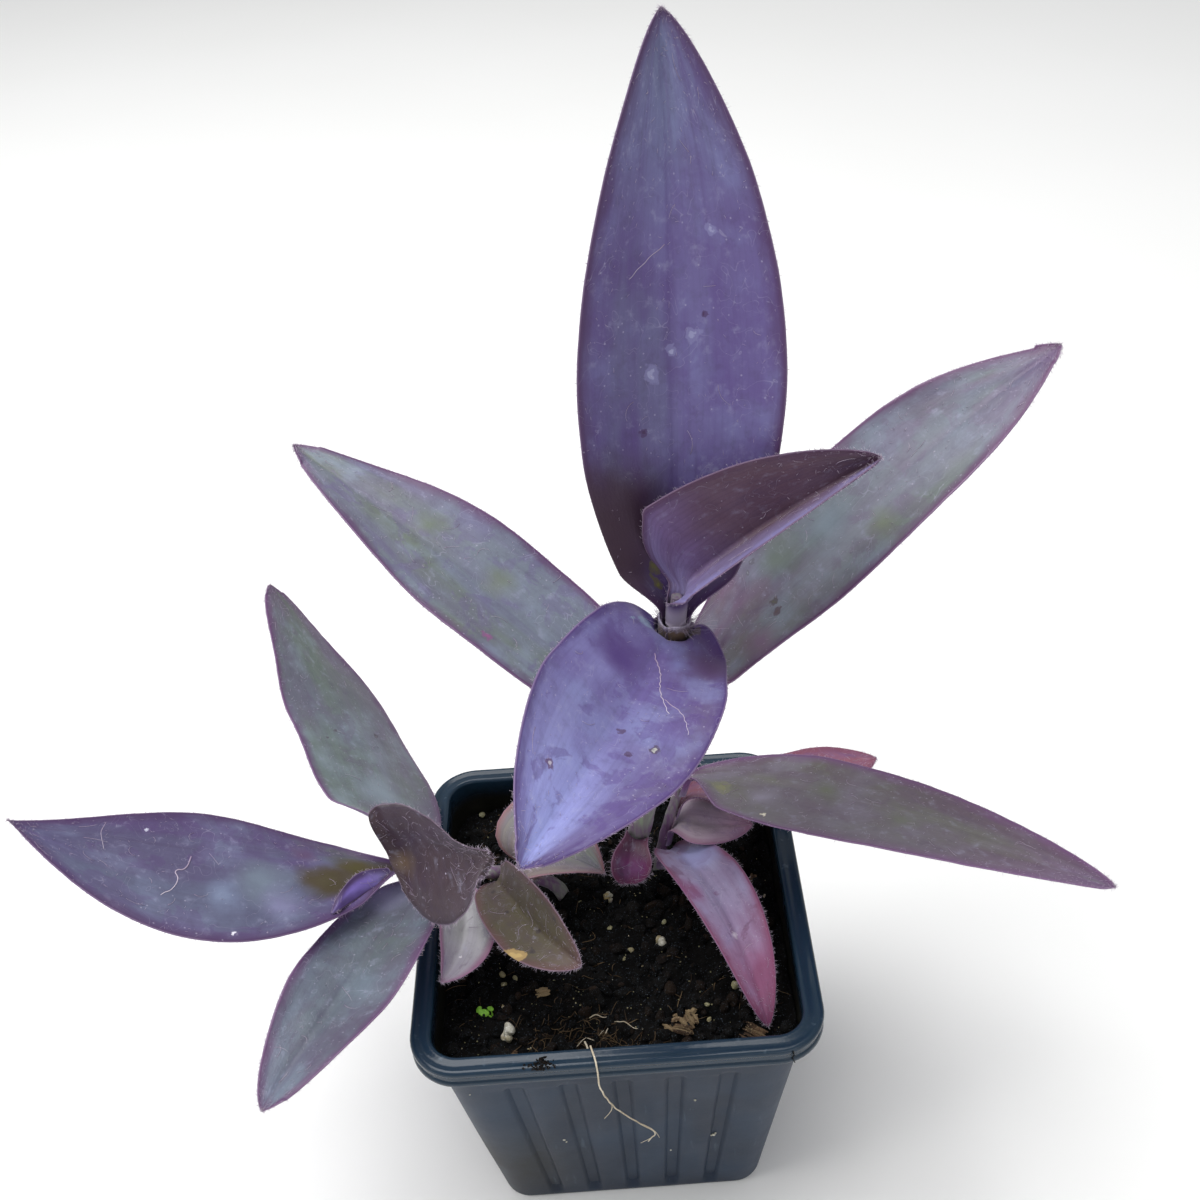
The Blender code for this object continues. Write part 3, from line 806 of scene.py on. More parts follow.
class LeafTone(Enum):
    """Finish of each leaf, by the piece that it dresses."""

    # Painted shade: the dark maroon towards the foot and the two broad dark marks there. The blue-grey from
    # the middle to the tip is partly painted reflection.
    TOP = tones(
        "#6c6398", [(0.3, 0.08, "#4a3040"), (0.62, 0.9, "#72769e")], green=("#5f647e", 0.4),
        minus=("#57437a", 0.45), purple=("#53397a", 0.6), bloom_and_sheen=("#8288b8", 0.35), margin=("#4a2c58", 2.4),
        plus=("#4c366a", 0.4), rubbed=0.2, marks=(Mark(17, 20, 22, "#3d2735", "#3a2430", 0.9),
        Mark(-14, 18, 13, "#46304a", "#432c40", 0.7), Mark(-5.5, 60.7, 0.8, "#4a3160", "#41284f"),
        Mark(7.1, 39.9, 1, "#4a3160", "#41284f"), Mark(5.1, 50.6, 2, "#8a88b4", "#a8aacb", 0.5),
        Mark(-3, 57.4, 1.6, "#8a88b4", "#a8aacb", 0.5), Mark(1, 54.5, 1.2, "#8a88b4", "#b4b6d4", 0.5),
        Mark(-8, 75, 1.4, "#8a88b4", "#a8aacb", 0.5), Mark(8.6, 9, 2.4, "#5c5630", "#6e6c2c"),
        Mark(8, 12.5, 2, "#5c5630", "#62602c", 0.7)))
    # Painted light and shade: the lavender of the minus half is painted reflection on the half that faces up,
    # and the dark maroon of the rest is partly painted shade.
    YOUNG = tones(
        "#5f4552", [(0.4, 0.08, "#7c6690"), (0.16, 0, "#9088b4"), (0.7, 1, "#3e2932")],
        minus=("#8680b4", 0.9), purple=("#4f3a50", 0.4), bloom_and_sheen=("#7c687b", 0.3), margin=("#4f2f4c", 0.8),
        vein_mark=0.1, sheath="#a69cac", under="#4a2c58", rubbed=0.15)
    FRONT = tones(
        "#7773a5", [(0.5, 0.14, "#5f4f86"), (0.5, 0.95, "#9aa0dc")], minus=("#9292c6", 0.35),
        plus=("#5c4c70", 0.8), purple=("#574280", 0.45), bloom_and_sheen=("#8c97c8", 0.35), margin=("#47306a", 1.1),
        rubbed=0.45, marks=(Mark(-7.5, 62.6, 1.5, "#5d4468", "#c4bcc8"),
        Mark(1.7, 43.7, 0.8, "#4f3d5c", "#57466a"), Mark(8.4, 46.2, 1.1, "#4c3f52", "#b4b4ac"),
        Mark(5, 49.7, 0.9, "#4f3c5c", "#4a3656"), Mark(2, 2, 5, "#5c5560", "#62594e", 0.6),
        Mark(-9.5, 8, 3, "#7f98b4", "#7688a8", 0.7), Mark(-7, 24, 9, "#523e76", "#4e3a74"),
        Mark(12, 15, 8.5, "#523a62", "#4f375e", 0.85), Mark(5.5, 17.5, 4, "#7474a4", "#7676a8", 0.6),
        Mark(13, 3, 3, "#6a6158", "#746e5c", 0.7)))
    RIGHT = tones(
        "#70777f", [(0.42, 0.2, "#775674"), (0.5, 0.9, "#575c6e"), (0.8, 1, "#5f5270")],
        minus=("#7a7286", 0.35), green=("#5e6c5c", 0.6), bloom_and_sheen=("#828e9f", 0.5), purple=("#64506f", 0.45),
        margin=("#582d5a", 1.6), marks=(Mark(-8, 9, 9, "#5c4560", "#5a4260"),
        Mark(9.6, 35.2, 0.8, "#5f5f6c", "#8f8f9a"), Mark(8.6, 33, 0.6, "#5f5f6c", "#8f8f9a"),
        Mark(-2.6, 33.5, 1.2, "#4f4648", "#5a5c44"), Mark(-5.6, 33, 1, "#54424c", "#5a4a4c"),
        Mark(-7, 60, 5, "#66705c", "#6a755c", 0.5), Mark(2, 52, 8, "#74828c", "#7a8894", 0.5),
        Mark(-9, 27, 6, "#6e4e6a", "#6a4c6c", 0.5), Mark(5, 40, 7, "#60705f", "#667468", 0.5)))
    LEFT = tones(
        "#6c7482", [(0.3, 0.05, "#636572"), (0.5, 0.8, "#6a7079"), (0.85, 1, "#727a86")],
        green=("#616c56", 0.7), bloom_and_sheen=("#8490a6", 0.5), margin=("#552e5b", 1.3),
        marks=(Mark(10.9, 46, 1.4, "#7c4f7a", "#8c4f7c"), Mark(-5.4, 72.8, 5, "#636e5c", "#5f6c56", 0.5),
        Mark(-3, 52.7, 6, "#66705f", "#66705c", 0.45)))
    BUD = tones(
        "#4e2840", [(0.3, 0.7, "#74326a")], margin=("#6c3450", 0.5), under="#6c3854", purple=("#3e1c30", 0.5))
    LOW = tones(
        "#8e938a", [(0.4, 0, "#997a6d")], minus=("#a67a72", 0.4), margin=("#99686d", 0.8), under="#997a7e")
    INNER = tones(
        "#4c402e", [(0.32, 0.06, "#73695c"), (0.7, 1, "#564334")], green=("#474429", 0.5),
        purple=("#47353a", 0.4), bloom_and_sheen=("#5f564a", 0.4), margin=("#5b393d", 0.8), under="#5b454a",
        marks=(Mark(-3.1, 10, 0.8, "#33292a", "#2c2424"), Mark(-2.7, 20.2, 0.7, "#33292a", "#2c2424"),
        Mark(6.3, 35.9, 0.8, "#33292a", "#2c2424"), Mark(-0.4, 31.3, 0.7, "#33292a", "#2c2424"),
        Mark(-5, 34.5, 0.8, "#33292a", "#2c2424"), Mark(-8.6, 32.8, 2.6, "#a88c58", "#c0a468", 0.9)))
    # Painted light: all of its colours are lighter than the leaf's own, to make up for the shade that it lies
    # in.
    PALE = tones(
        "#b2afb6", [(0.6, 1, "#a9a0ac")], green=("#9ca194", 0.5), bloom_and_sheen=("#bcbac4", 0.4),
        margin=("#a0648a", 0.6), under="#977a8b", marks=(Mark(1.1, 21.8, 0.5, "#e8e4e8", "#f2f0f2"),))
    # Painted light: the pale patch near the foot, where the tip leaf's shadow falls on this leaf.
    UP = tones(
        "#697280", [(0.1, 0, "#5a4c52"), (0.45, 0.7, "#5d626c"), (0.75, 1, "#605666")],
        minus=("#5a5058", 0.45), green=("#5a6a5a", 0.6), bloom_and_sheen=("#84939c", 0.5), purple=("#5d4f6c", 0.35),
        margin=("#582f5f", 1.2), marks=(Mark(0, 22, 9, "#808d99", "#8795a1", 0.6),
        Mark(5.2, 44.1, 0.6, "#4c4450", "#443c48"), Mark(8.6, 41.2, 0.6, "#4c4450", "#443c48"),
        Mark(-7.8, 44.1, 0.8, "#4c4450", "#443c48")))
    # Painted light: the pale patch near the foot and the paler minus side, where the long leaf's shadow falls
    # on this leaf.
    DOWN = tones(
        "#56606a", [(0.4, 0.05, "#8684a0"), (0.2, 0.08, "#3a2d35"), (0.7, 1, "#6c7486")],
        green=("#526058", 0.5), bloom_and_sheen=("#6a7a88", 0.5), purple=("#52485f", 0.45), margin=("#57325d", 1.2),
        plus=("#54465c", 0.5), minus=("#70728c", 0.4), marks=(Mark(-8, 14, 9, "#8a88a6", "#8a88a6", 0.6),))
    LONG = tones(
        "#55506f", [(0.3, 0.14, "#4c4430"), (0.16, 0.05, "#33271f"), (0.7, 1, "#534f75")],
        green=("#5c667c", 0.5), bloom_and_sheen=("#727996", 0.5), purple=("#53386e", 0.5), margin=("#492e58", 1.4),
        under="#6b4f96", marks=(Mark(0, 5, 12, "#3c2e2a", "#3a2c28", 0.9),
        Mark(10, 19, 7, "#6a5a92", "#7a70ac", 0.7), Mark(-3.5, 14.5, 9, "#4a4228", "#4a4420", 1),
        Mark(1.5, 22, 9, "#483e2c", "#484028", 1), Mark(0.8, 36, 8, "#707c8a", "#748290", 0.5),
        Mark(-9, 26, 4, "#5c4668", "#584264", 0.6), Mark(4.6, 44.4, 5, "#8a9ab8", "#8c9ab6", 0.3),
        Mark(7, 33, 7, "#8c8cb0", "#8c8cb0", 0.35), Mark(14, 43.1, 0.5, "#e6e4ee", "#f2f0f6"),
        Mark(-10.5, 62, 0.6, "#c8c8dc", "#dcdce8")))
    # Painted shade: the near-black towards the plus margin, in the crease of the fold.
    CURL = tones(
        "#8a78ca", [(0.6, 1, "#68637e")], plus=("#2c1c30", 0.95), margin=("#3a2450", 0.4),
        purple=("#6c56a0", 0.4), bloom_and_sheen=("#9488cc", 0.4), under="#4a3a3c", rubbed=0.1)
    # Painted shadow: the darkest colour at the end of the blade, where the tip curls under.
    TIP = tones(
        "#3f2e33", [(0.16, 0.02, "#4a3a2c"), (0.9, 1, "#2a1d1e")], bloom_and_sheen=("#564347", 0.45),
        margin=("#2e1c26", 0.6), purple=("#33222a", 0.5), plus=("#3a2630", 0.5), under="#4b373c", specks=0.8,
        rubbed=0.2, marks=(Mark(-3, 11, 5.5, "#5a4838", "#5f4c3a", 0.7),))
    RIGHT_LONG = tones(
        "#67616a", [(0.2, 0.02, "#6c6468"), (0.55, 1, "#6d5870"), (0.85, 1, "#6a5674")],
        plus=("#54474a", 0.6), green=("#5c5f4c", 0.7), bloom_and_sheen=("#7f7a8c", 0.45), purple=("#5c4a5c", 0.45),
        margin=("#643f6a", 2), under="#764b81", marks=(Mark(-11.5, 28, 0.7, "#d8d0b8", "#e8e4d4"),
        Mark(3, 37, 7, "#585c4c", "#5a6048", 0.55), Mark(-5.5, 14, 3.5, "#76765c", "#7c7c58", 0.6),
        Mark(-4.7, 25, 5, "#7d7788", "#858092", 0.5), Mark(-1.6, 57, 6, "#606456", "#626856", 0.45)))
    RIGHT_BACK = tones(
        "#85505f", [(0.6, 1, "#8c5668")], bloom_and_sheen=("#906074", 0.4), margin=("#763a50", 0.6))
    # Painted light: all of its colours are lighter than the leaf's own, to make up for the shade that it lies
    # in.
    RIGHT_SMALL = tones(
        "#b49eb0", [(0.5, 1, "#b68aa4")], bloom_and_sheen=("#b0a0b2", 0.4), margin=("#8c5c78", 0.7),
        green=("#8c8c80", 0.5))
    # Painted light: its colours are lighter than the leaf's own, because it faces away from the lamps.
    RIGHT_FRONT = tones(
        "#a09abc", [(0.45, 0.9, "#985e82")], minus=("#a67a9c", 0.35), purple=("#6e3a62", 0.5),
        bloom_and_sheen=("#a4a6d0", 0.6), margin=("#843e62", 1), rubbed=0.5,
        marks=(Mark(2.6, 15, 8, "#9a9cca", "#9ea0cc", 0.7), Mark(-6.4, 28.2, 5, "#96588a", "#8a4a72", 0.5),
        Mark(1.7, 50, 9, "#8e4a70", "#864468", 0.6), Mark(-0.8, 41.1, 1, "#c8bccc", "#d8ccd8", 0.6)))


# Plant

@dataclass(frozen=True)
class Stem:
    """A juicy stem that rises from the soil, with the leaves' sheaths round it."""

    name: str
    path: tuple[Point, ...]
    foot_radius: float
    tip_radius: float
    shown: float = 1.0
    sides: int = 20

    def place(self, share: float) -> tuple[Array, Array, float]:
        """Find a place on the stem.

        Args:
            share: how far up the stem, from 0 to 1.

        Returns:
            The place, the stem's direction there and its radius.
        """
        points = smooth_curve(self.path, 40)
        run = np.concatenate([[0.0], np.cumsum(np.linalg.norm(np.diff(points, axis=0), axis=1))])
        run /= run[-1]
        here, before, after = (
            np.array([np.interp(value, run, points[:, axis]) for axis in range(3)])
            for value in (share, share - 0.01, share + 0.01)
        )
        return here, unit(after - before), self.foot_radius + (self.tip_radius - self.foot_radius) * share

    def build(self) -> Piece:
        """Build and dress the stem, with slight swellings and ridges.

        Returns:
            The stem's piece.
        """
        points = smooth_curve(self.path, 24)
        radii = np.linspace(self.foot_radius, self.tip_radius, len(points))
        points = points[:int(self.shown * len(points))]
        radii = radii[:len(points)] * (1 + 0.04 * np.sin(np.linspace(0, 14 * pi, len(points))))
        rod = thread(points, radii, self.sides)
        ridges = SoftNoise(5).at(rod.points * np.array([1, 1, 0.15]), 0.9)
        centres = np.repeat(points, self.sides, axis=0)
        rod.points += unit(rod.points - centres) * (0.09 * ridges)[:, None]
        skin = self.name + "_skin"
        made = rod.piece(skin, FleshyStem().material(skin), "stem", crease=60)
        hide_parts(self.name)
        return made


@dataclass(frozen=True)
class Leaf:
    """A leaf whose sheath wraps a stem, and whose blade turns away from it and opens.

    Lengths are millimetres and angles degrees. Rise and dip are the midrib's slopes at the blade's
    foot and tip, and wrap is the half angle that the sheath covers.
    """

    name: str
    tone: LeafTone
    at: float
    length: float
    width: float
    heading: float
    rise: float
    dip: float
    sheath: float = 8.0
    clearance: float = 0.5
    wrap: float = 165.0
    mouth: float = 3.0
    turn: float = 9.0
    opening: float = 12.0
    swing: float = 0.0
    roll: float = 0.0
    twist: float = 0.0
    widest: float = 0.43
    foot: float = 0.36
    swell: float = 1.0
    taper: float = 0.85
    fold: float = 8.0
    cup: float = 8.0
    wave: float = 0.0
    waves: float = 2.5
    thick: float = 0.9
    downy: float = 1.0
    lint: int = 18
    scratches: tuple = ()
    channel: float = 75.0
    lobes: float = 0.0
    is_node: bool = True

    @property
    def seed(self) -> int:
        """A number of the leaf's own, made from its name."""
        return sum(map(ord, self.name))

    def stations(self) -> Array:
        """Place the rows of points along the midrib, closest at the mouth and the tip.

        Returns:
            Their distances along the midrib.
        """
        mouth = self.sheath + self.mouth
        opening = self.sheath + self.opening
        end = self.sheath + self.length
        rows = int(min(95, 24 + 0.8 * self.length))
        return np.concatenate([
            np.linspace(0, self.sheath, 5)[:-1], np.linspace(self.sheath, mouth, 7)[:-1],
            np.linspace(mouth, opening, 13)[:-1],
            opening + (end - opening) * np.sin(np.linspace(0, pi / 2, rows)),
        ])

    def frames(self, run: Array, stem: Stem) -> tuple[Array, Array, Array, float]:
        """Follow the midrib.

        Args:
            run: distances along it.
            stem: the stem that carries the leaf.

        Returns:
            Midrib points, directions across and out of the upper face, and the sheath's radius.
        """
        base, axis, radius = stem.place(self.at)
        blade = np.clip(run - self.sheath, 0, None)
        share = blade / self.length
        heading = np.radians(self.heading + self.swing * share)
        slope = np.radians(self.rise + (self.dip - self.rise) * share)
        roll = np.radians(self.roll + self.twist * share)[:, None]
        ahead = np.stack([np.cos(slope) * np.cos(heading), np.cos(slope) * np.sin(heading), np.sin(slope)], 1)
        level = np.stack([-np.sin(heading), np.cos(heading), 0 * heading], 1)
        across = np.cos(roll) * level + np.sin(roll) * np.cross(ahead, level)
        out = np.array([cos(heading[0]), sin(heading[0]), 0.0])
        out = unit(out - axis * (out @ axis))
        turned = ease((blade - self.mouth / 2) / self.turn)[:, None]
        along = unit(axis * (1 - turned) + ahead * turned)
        side = np.cross(axis, out) * (1 - turned) + across * turned
        side = unit(side - along * (side * along).sum(1, keepdims=True))
        steps = 0.5 * (along[1:] + along[:-1]) * np.diff(run)[:, None]
        ring = radius + self.clearance
        midrib = np.vstack([np.zeros(3), np.cumsum(steps, 0)]) + base + out * ring
        return midrib, side, np.cross(along, side), ring

    def half_widths(self, share: Array) -> Array:
        """Find how wide the blade is.

        Args:
            share: shares of its length.

        Returns:
            Half its width at each.
        """
        low = np.sin(pi / 2 * np.clip(share / self.widest, 0, 1)) ** self.swell
        past = np.clip((share - self.widest) / (1 - self.widest), 0, 1)
        high = np.cos(pi / 2 * past) ** self.taper
        return self.width / 2 * np.where(share < self.widest, self.foot + (1 - self.foot) * low, high)

    def faces_of(self, stem: Stem) -> Grids:
        """Work out the upper and lower face.

        Args:
            stem: the stem that carries the leaf.

        Returns:
            Grids of the upper points, lower points and upper normals, and the stations, shares of
            the length, places across and half widths that they belong to.
        """
        fine = np.linspace(0, self.sheath + self.length, 400)
        midrib, side, up, ring = self.frames(fine, stem)
        run = self.stations()
        midrib, side, up = (
            np.stack([np.interp(run, fine, rows[:, axis]) for axis in range(3)], 1)
            for rows in (midrib, side, up)
        )
        blade = np.clip(run - self.sheath, 0, None)
        share = blade / self.length
        # The sheath's round section opens to a channel at its mouth, and the channel flattens out.
        channel = min(self.channel, self.wrap)
        clasp = np.radians(self.wrap + (channel - self.wrap) * ease(blade / self.mouth))
        opened = ease(blade / self.opening)
        wander = SoftNoise(self.seed).at(np.stack([run, 0 * run, 0 * run], 1), 9.0)
        breadth = self.half_widths(share) * (1 + 0.006 * wander)
        half = np.maximum(ring * clasp * (1 - opened) + breadth * opened, 0.12)
        fold = (np.radians(self.fold) * opened)[:, None]
        cup = (clasp * (1 - opened) + np.radians(self.cup) * opened)[:, None]
        columns = int(min(37, 13 + 0.6 * self.width)) | 1
        places = np.sin(np.linspace(-pi / 2, pi / 2, columns)) * 0.35 + np.linspace(-1, 1, columns) * 0.65
        reach = np.abs(places)
        level = (np.sin(fold + cup * reach) - np.sin(fold)) / cup
        lift = (np.cos(fold) - np.cos(fold + cup * reach)) / cup
        ripple = self.wave * opened[:, None] * places**2 * np.sin(
            2 * pi * self.waves * share[:, None] + 2.0 * places)
        ripple *= (half > 3)[:, None]
        upper = midrib[:, None] + (np.sign(places) * level * half[:, None])[..., None] * side[:, None]
        upper += (lift * half[:, None] + ripple)[..., None] * up[:, None]
        # A broad foot stands up on both sides of the stem, in two lobes.
        beside = np.exp(-((run - self.sheath - 2.0) / 4.5) ** 2)[:, None] * reach**2
        upper += (self.lobes * beside)[..., None] * stem.place(self.at)[1]
        # Living blades aren't dead even: soft hollows, and a shallow groove along the midrib
        grid = np.stack(np.broadcast_arrays(places * self.width / 2, run[:, None], 0.0 * run[:, None]), 2)
        uneven = 0.3 * SoftNoise(self.seed + 1).at(grid * np.array([1, 0.6, 1]), 9.0)
        uneven += 0.07 * SoftNoise(self.seed + 2).at(grid, 2.5)
        groove = 0.22 * np.exp(-(places * half[:, None] / 0.8) ** 2)
        calm = np.clip(half / 5, 0, 1) * opened
        upper += ((uneven - groove) * calm[:, None])[..., None] * up[:, None]
        normal = unit(np.cross(np.gradient(upper, axis=0), np.gradient(upper, axis=1)))
        depth = 0.85 * self.thick * (1 - 0.6 * reach**3) * np.clip(half / 2.5, 0.3, 1)[:, None]
        return {"upper": upper, "lower": upper - normal * depth[..., None], "normal": normal, "run": run,
                "half": half, "places": places, "share": share}

    def build(self, stem: Stem) -> list[Piece]:
        """Build and dress the blade and sheath, and put its hairs on.

        Args:
            stem: the stem that carries the leaf.

        Returns:
            The leaf's piece and its hairs' piece.
        """
        found = self.faces_of(stem)
        upper, lower = found["upper"], found["lower"]
        rows, columns = upper.shape[:2]
        middle = (upper + lower) / 2
        outward = unit(upper[:, [0, -1]] - upper[:, [1, -2]])
        bulge = np.linalg.norm(upper - lower, axis=2)[:, [0, -1], None] * 0.35
        edges = middle[:, [0, -1]] + outward * bulge
        loops = np.concatenate([upper, edges[:, 1:], lower[:, ::-1], edges[:, :1]], axis=1)
        around = loops.shape[1]
        faces = [(a, d, c, b) for a, b, c, d in wall_faces(rows, around)]
        for row, order in ((0, 1), (rows - 1, -1)):
            low = row * around
            ends = [(low + columns, low + columns - 1, low + columns + 1),
                    (low + around - 1, low + around - 2, low)]
            for place in range(columns - 1):
                far = low + 2 * columns - place
                ends.append((low + place + 1, low + place, far, far - 1))
            faces += [face[::order] for face in ends]
        places = np.concatenate([found["places"], [1.0], found["places"][::-1], [-1.0]])
        above = np.concatenate([np.ones(columns), [0.5], np.zeros(columns), [0.5]])
        run = found["run"][:, None] - self.sheath
        inside = found["half"][:, None] * (1 - np.abs(places))
        inside = np.minimum(inside, 0.6 * (self.length - np.maximum(run, 0)) + 0.05)
        blade_mm = np.stack(np.broadcast_arrays(places * self.width / 2, run, inside), 2)
        blade_share = np.stack(np.broadcast_arrays(found["share"][:, None], places, above), 2)
        notes = {"blade_mm": blade_mm.reshape(-1, 3), "blade_share": blade_share.reshape(-1, 3)}
        finish = replace(self.tone.value, seed=self.seed % 97).material(self.name)
        made = Shape(loops.reshape(-1, 3), faces, notes).piece(self.name + "_blade", finish, "leaf")
        if self.is_node:
            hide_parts(self.name)
        return [made, self.add_hairs(found, edges)]

    def add_hairs(self, found: Grids, edges: Array) -> Piece:
        """Fringe the margins with fine hairs and scatter a few over the upper face.

        Args:
            found: the leaf's faces and rows.
            edges: points along both margins.

        Returns:
            The hairs' piece.
        """
        chance = np.random.default_rng(self.seed)
        rows, columns = found["upper"].shape[:2]
        shapes = []
        fringe = int(self.length * 2.6 * self.downy)
        spread = int(self.length * self.width * 0.12 * self.downy)
        for number in range(2 * fringe + spread):
            row = chance.uniform(4, rows - 1.01)
            low = int(row)
            part = row - low
            if number < 2 * fringe:
                margin = number % 2
                root = edges[low, margin] * (1 - part) + edges[low + 1, margin] * part
                out = unit(edges[low, margin] - found["upper"][low, (1, -2)[margin]])
                normal = found["normal"][low, (0, -1)[margin]]
                way = out + normal * chance.normal(0.1, 0.35) + chance.normal(0, 0.3, 3)
                length = chance.uniform(0.3, 0.8) * (0.6 + 0.4 * self.downy)
            else:
                column = int(chance.uniform(1, columns - 1))
                root = found["upper"][low, column]
                normal = found["normal"][low, column]
                ahead = unit(found["upper"][low + 1, column] - root)
                way = normal * chance.uniform(0.1, 0.8) + ahead * chance.normal(0.5, 0.6)
                way = way + chance.normal(0, 0.5, 3) * 0.7
                if way @ normal < 0.05:
                    way = way + normal * (0.1 - way @ normal)
                length = chance.uniform(0.3, 0.9)
            way = unit(way)
            bend = chance.normal(0, 0.18, 3) * length
            path = np.stack([root - way * 0.08, root + way * length * 0.5 + bend * 0.3,
                             root + way * length + bend])
            shapes.append(thread(path, np.array([0.034, 0.028, 0.01]), 3))
        for path in self.lint_paths(found, chance):
            shapes.append(thread(path, np.linspace(0.045, 0.02, len(path)), 3))
        for *path, radius in self.scratches:
            flat = smooth_curve([(x, y, 0) for x, y in path], 8)
            flat[:, 0] += 0.15 * np.sin(flat[:, 1] * 3.1)
            lifted = self.on_surface(found, flat[:, 0], flat[:, 1], radius * 0.2)
            shapes.append(thread(lifted, radius * np.linspace(1.0, 0.5, len(lifted)), 5))
        return Shape.joined(shapes).piece(self.name + "_hairs", leaf_hairs(), "leaf")

    def on_surface(self, found: Grids, across: Array, along: Array, lift: float) -> Array:
        """Find places on the upper face.

        Args:
            found: the leaf's faces and rows.
            across: millimetres from the midrib, measured at the widest row.
            along: millimetres up the blade.
            lift: how far above the face, in millimetres.

        Returns:
            The places, one row each.
        """
        rows, columns = found["upper"].shape[:2]
        column = np.interp(across / (self.width / 2), found["places"], np.arange(columns))
        row = np.interp(along + self.sheath, found["run"], np.arange(rows))
        low_row = np.minimum(row.astype(int), rows - 2)
        low_column = np.minimum(column.astype(int), columns - 2)
        up, over = (row - low_row)[:, None], (column - low_column)[:, None]
        raised = found["upper"] + lift * found["normal"]
        near = raised[low_row, low_column] * (1 - over) + raised[low_row, low_column + 1] * over
        far = raised[low_row + 1, low_column] * (1 - over) + raised[low_row + 1, low_column + 1] * over
        return near * (1 - up) + far * up

    def lint_paths(self, found: Grids, chance: np.random.Generator) -> list[Array]:
        """Lay loose white hairs on the upper face.

        Args:
            found: the leaf's faces and rows.
            chance: where the choices come from.

        Returns:
            The path of each hair.
        """
        paths = []
        for _ in range(self.lint):
            length = chance.uniform(1.2, 5.0)
            heading = chance.uniform(0, 2 * pi) + chance.normal(0, 1.2) * np.linspace(0, 1, 7)
            step = length / 6
            x = chance.uniform(-0.8, 0.8) * self.width / 2 + np.cumsum(step * np.cos(heading))
            y = chance.uniform(0.06, 0.93) * self.length + np.cumsum(step * np.sin(heading))
            x = np.clip(x, -0.47 * self.width, 0.47 * self.width)
            y = np.clip(y, 1.0, self.length * 0.97)
            paths.append(self.on_surface(found, x, y, 0.05))
        return paths


@dataclass(frozen=True)
class ShapedLeaf(Leaf):
    """A blade, or a part of one, that bends both ways, so it is laid out row by row from foot to tip.

    Each row runs across the blade, from its minus margin to its plus margin.
    """

    rows: tuple[tuple[Point, ...], ...] = ()

    def faces_of(self, stem: Stem) -> Grids:
        """Work out the upper and lower face.

        Args:
            stem: the stem that carries the leaf.

        Returns:
            The same grids and numbers as for a plain leaf.
        """
        bands = np.stack([smooth_curve(row, 6) for row in self.rows])
        upper = np.stack([smooth_curve(bands[:, column], 8) for column in range(bands.shape[1])], 1)
        rows, columns = upper.shape[:2]
        steps = np.linalg.norm(np.diff(upper[:, columns // 2], axis=0), axis=1)
        share = np.concatenate([[0.0], np.cumsum(steps)]) / steps.sum()
        run = self.sheath + share * self.length
        half = np.linalg.norm(np.diff(upper, axis=1), axis=2).sum(1) / 2
        places = np.linspace(-1, 1, columns)
        normal = unit(np.cross(np.gradient(upper, axis=0), np.gradient(upper, axis=1)))
        uneven = 0.35 * SoftNoise(self.seed).at(upper, 5.0) + 0.12 * SoftNoise(self.seed + 1).at(upper, 1.8)
        upper = upper + (uneven * np.clip(half / 6, 0, 1)[:, None])[..., None] * normal
        depth = 0.85 * self.thick * (1 - 0.6 * np.abs(places) ** 3) * np.clip(half / 2.5, 0.3, 1)[:, None]
        return {"upper": upper, "lower": upper - normal * depth[..., None], "normal": normal, "run": run,
                "half": half, "places": places, "share": share}


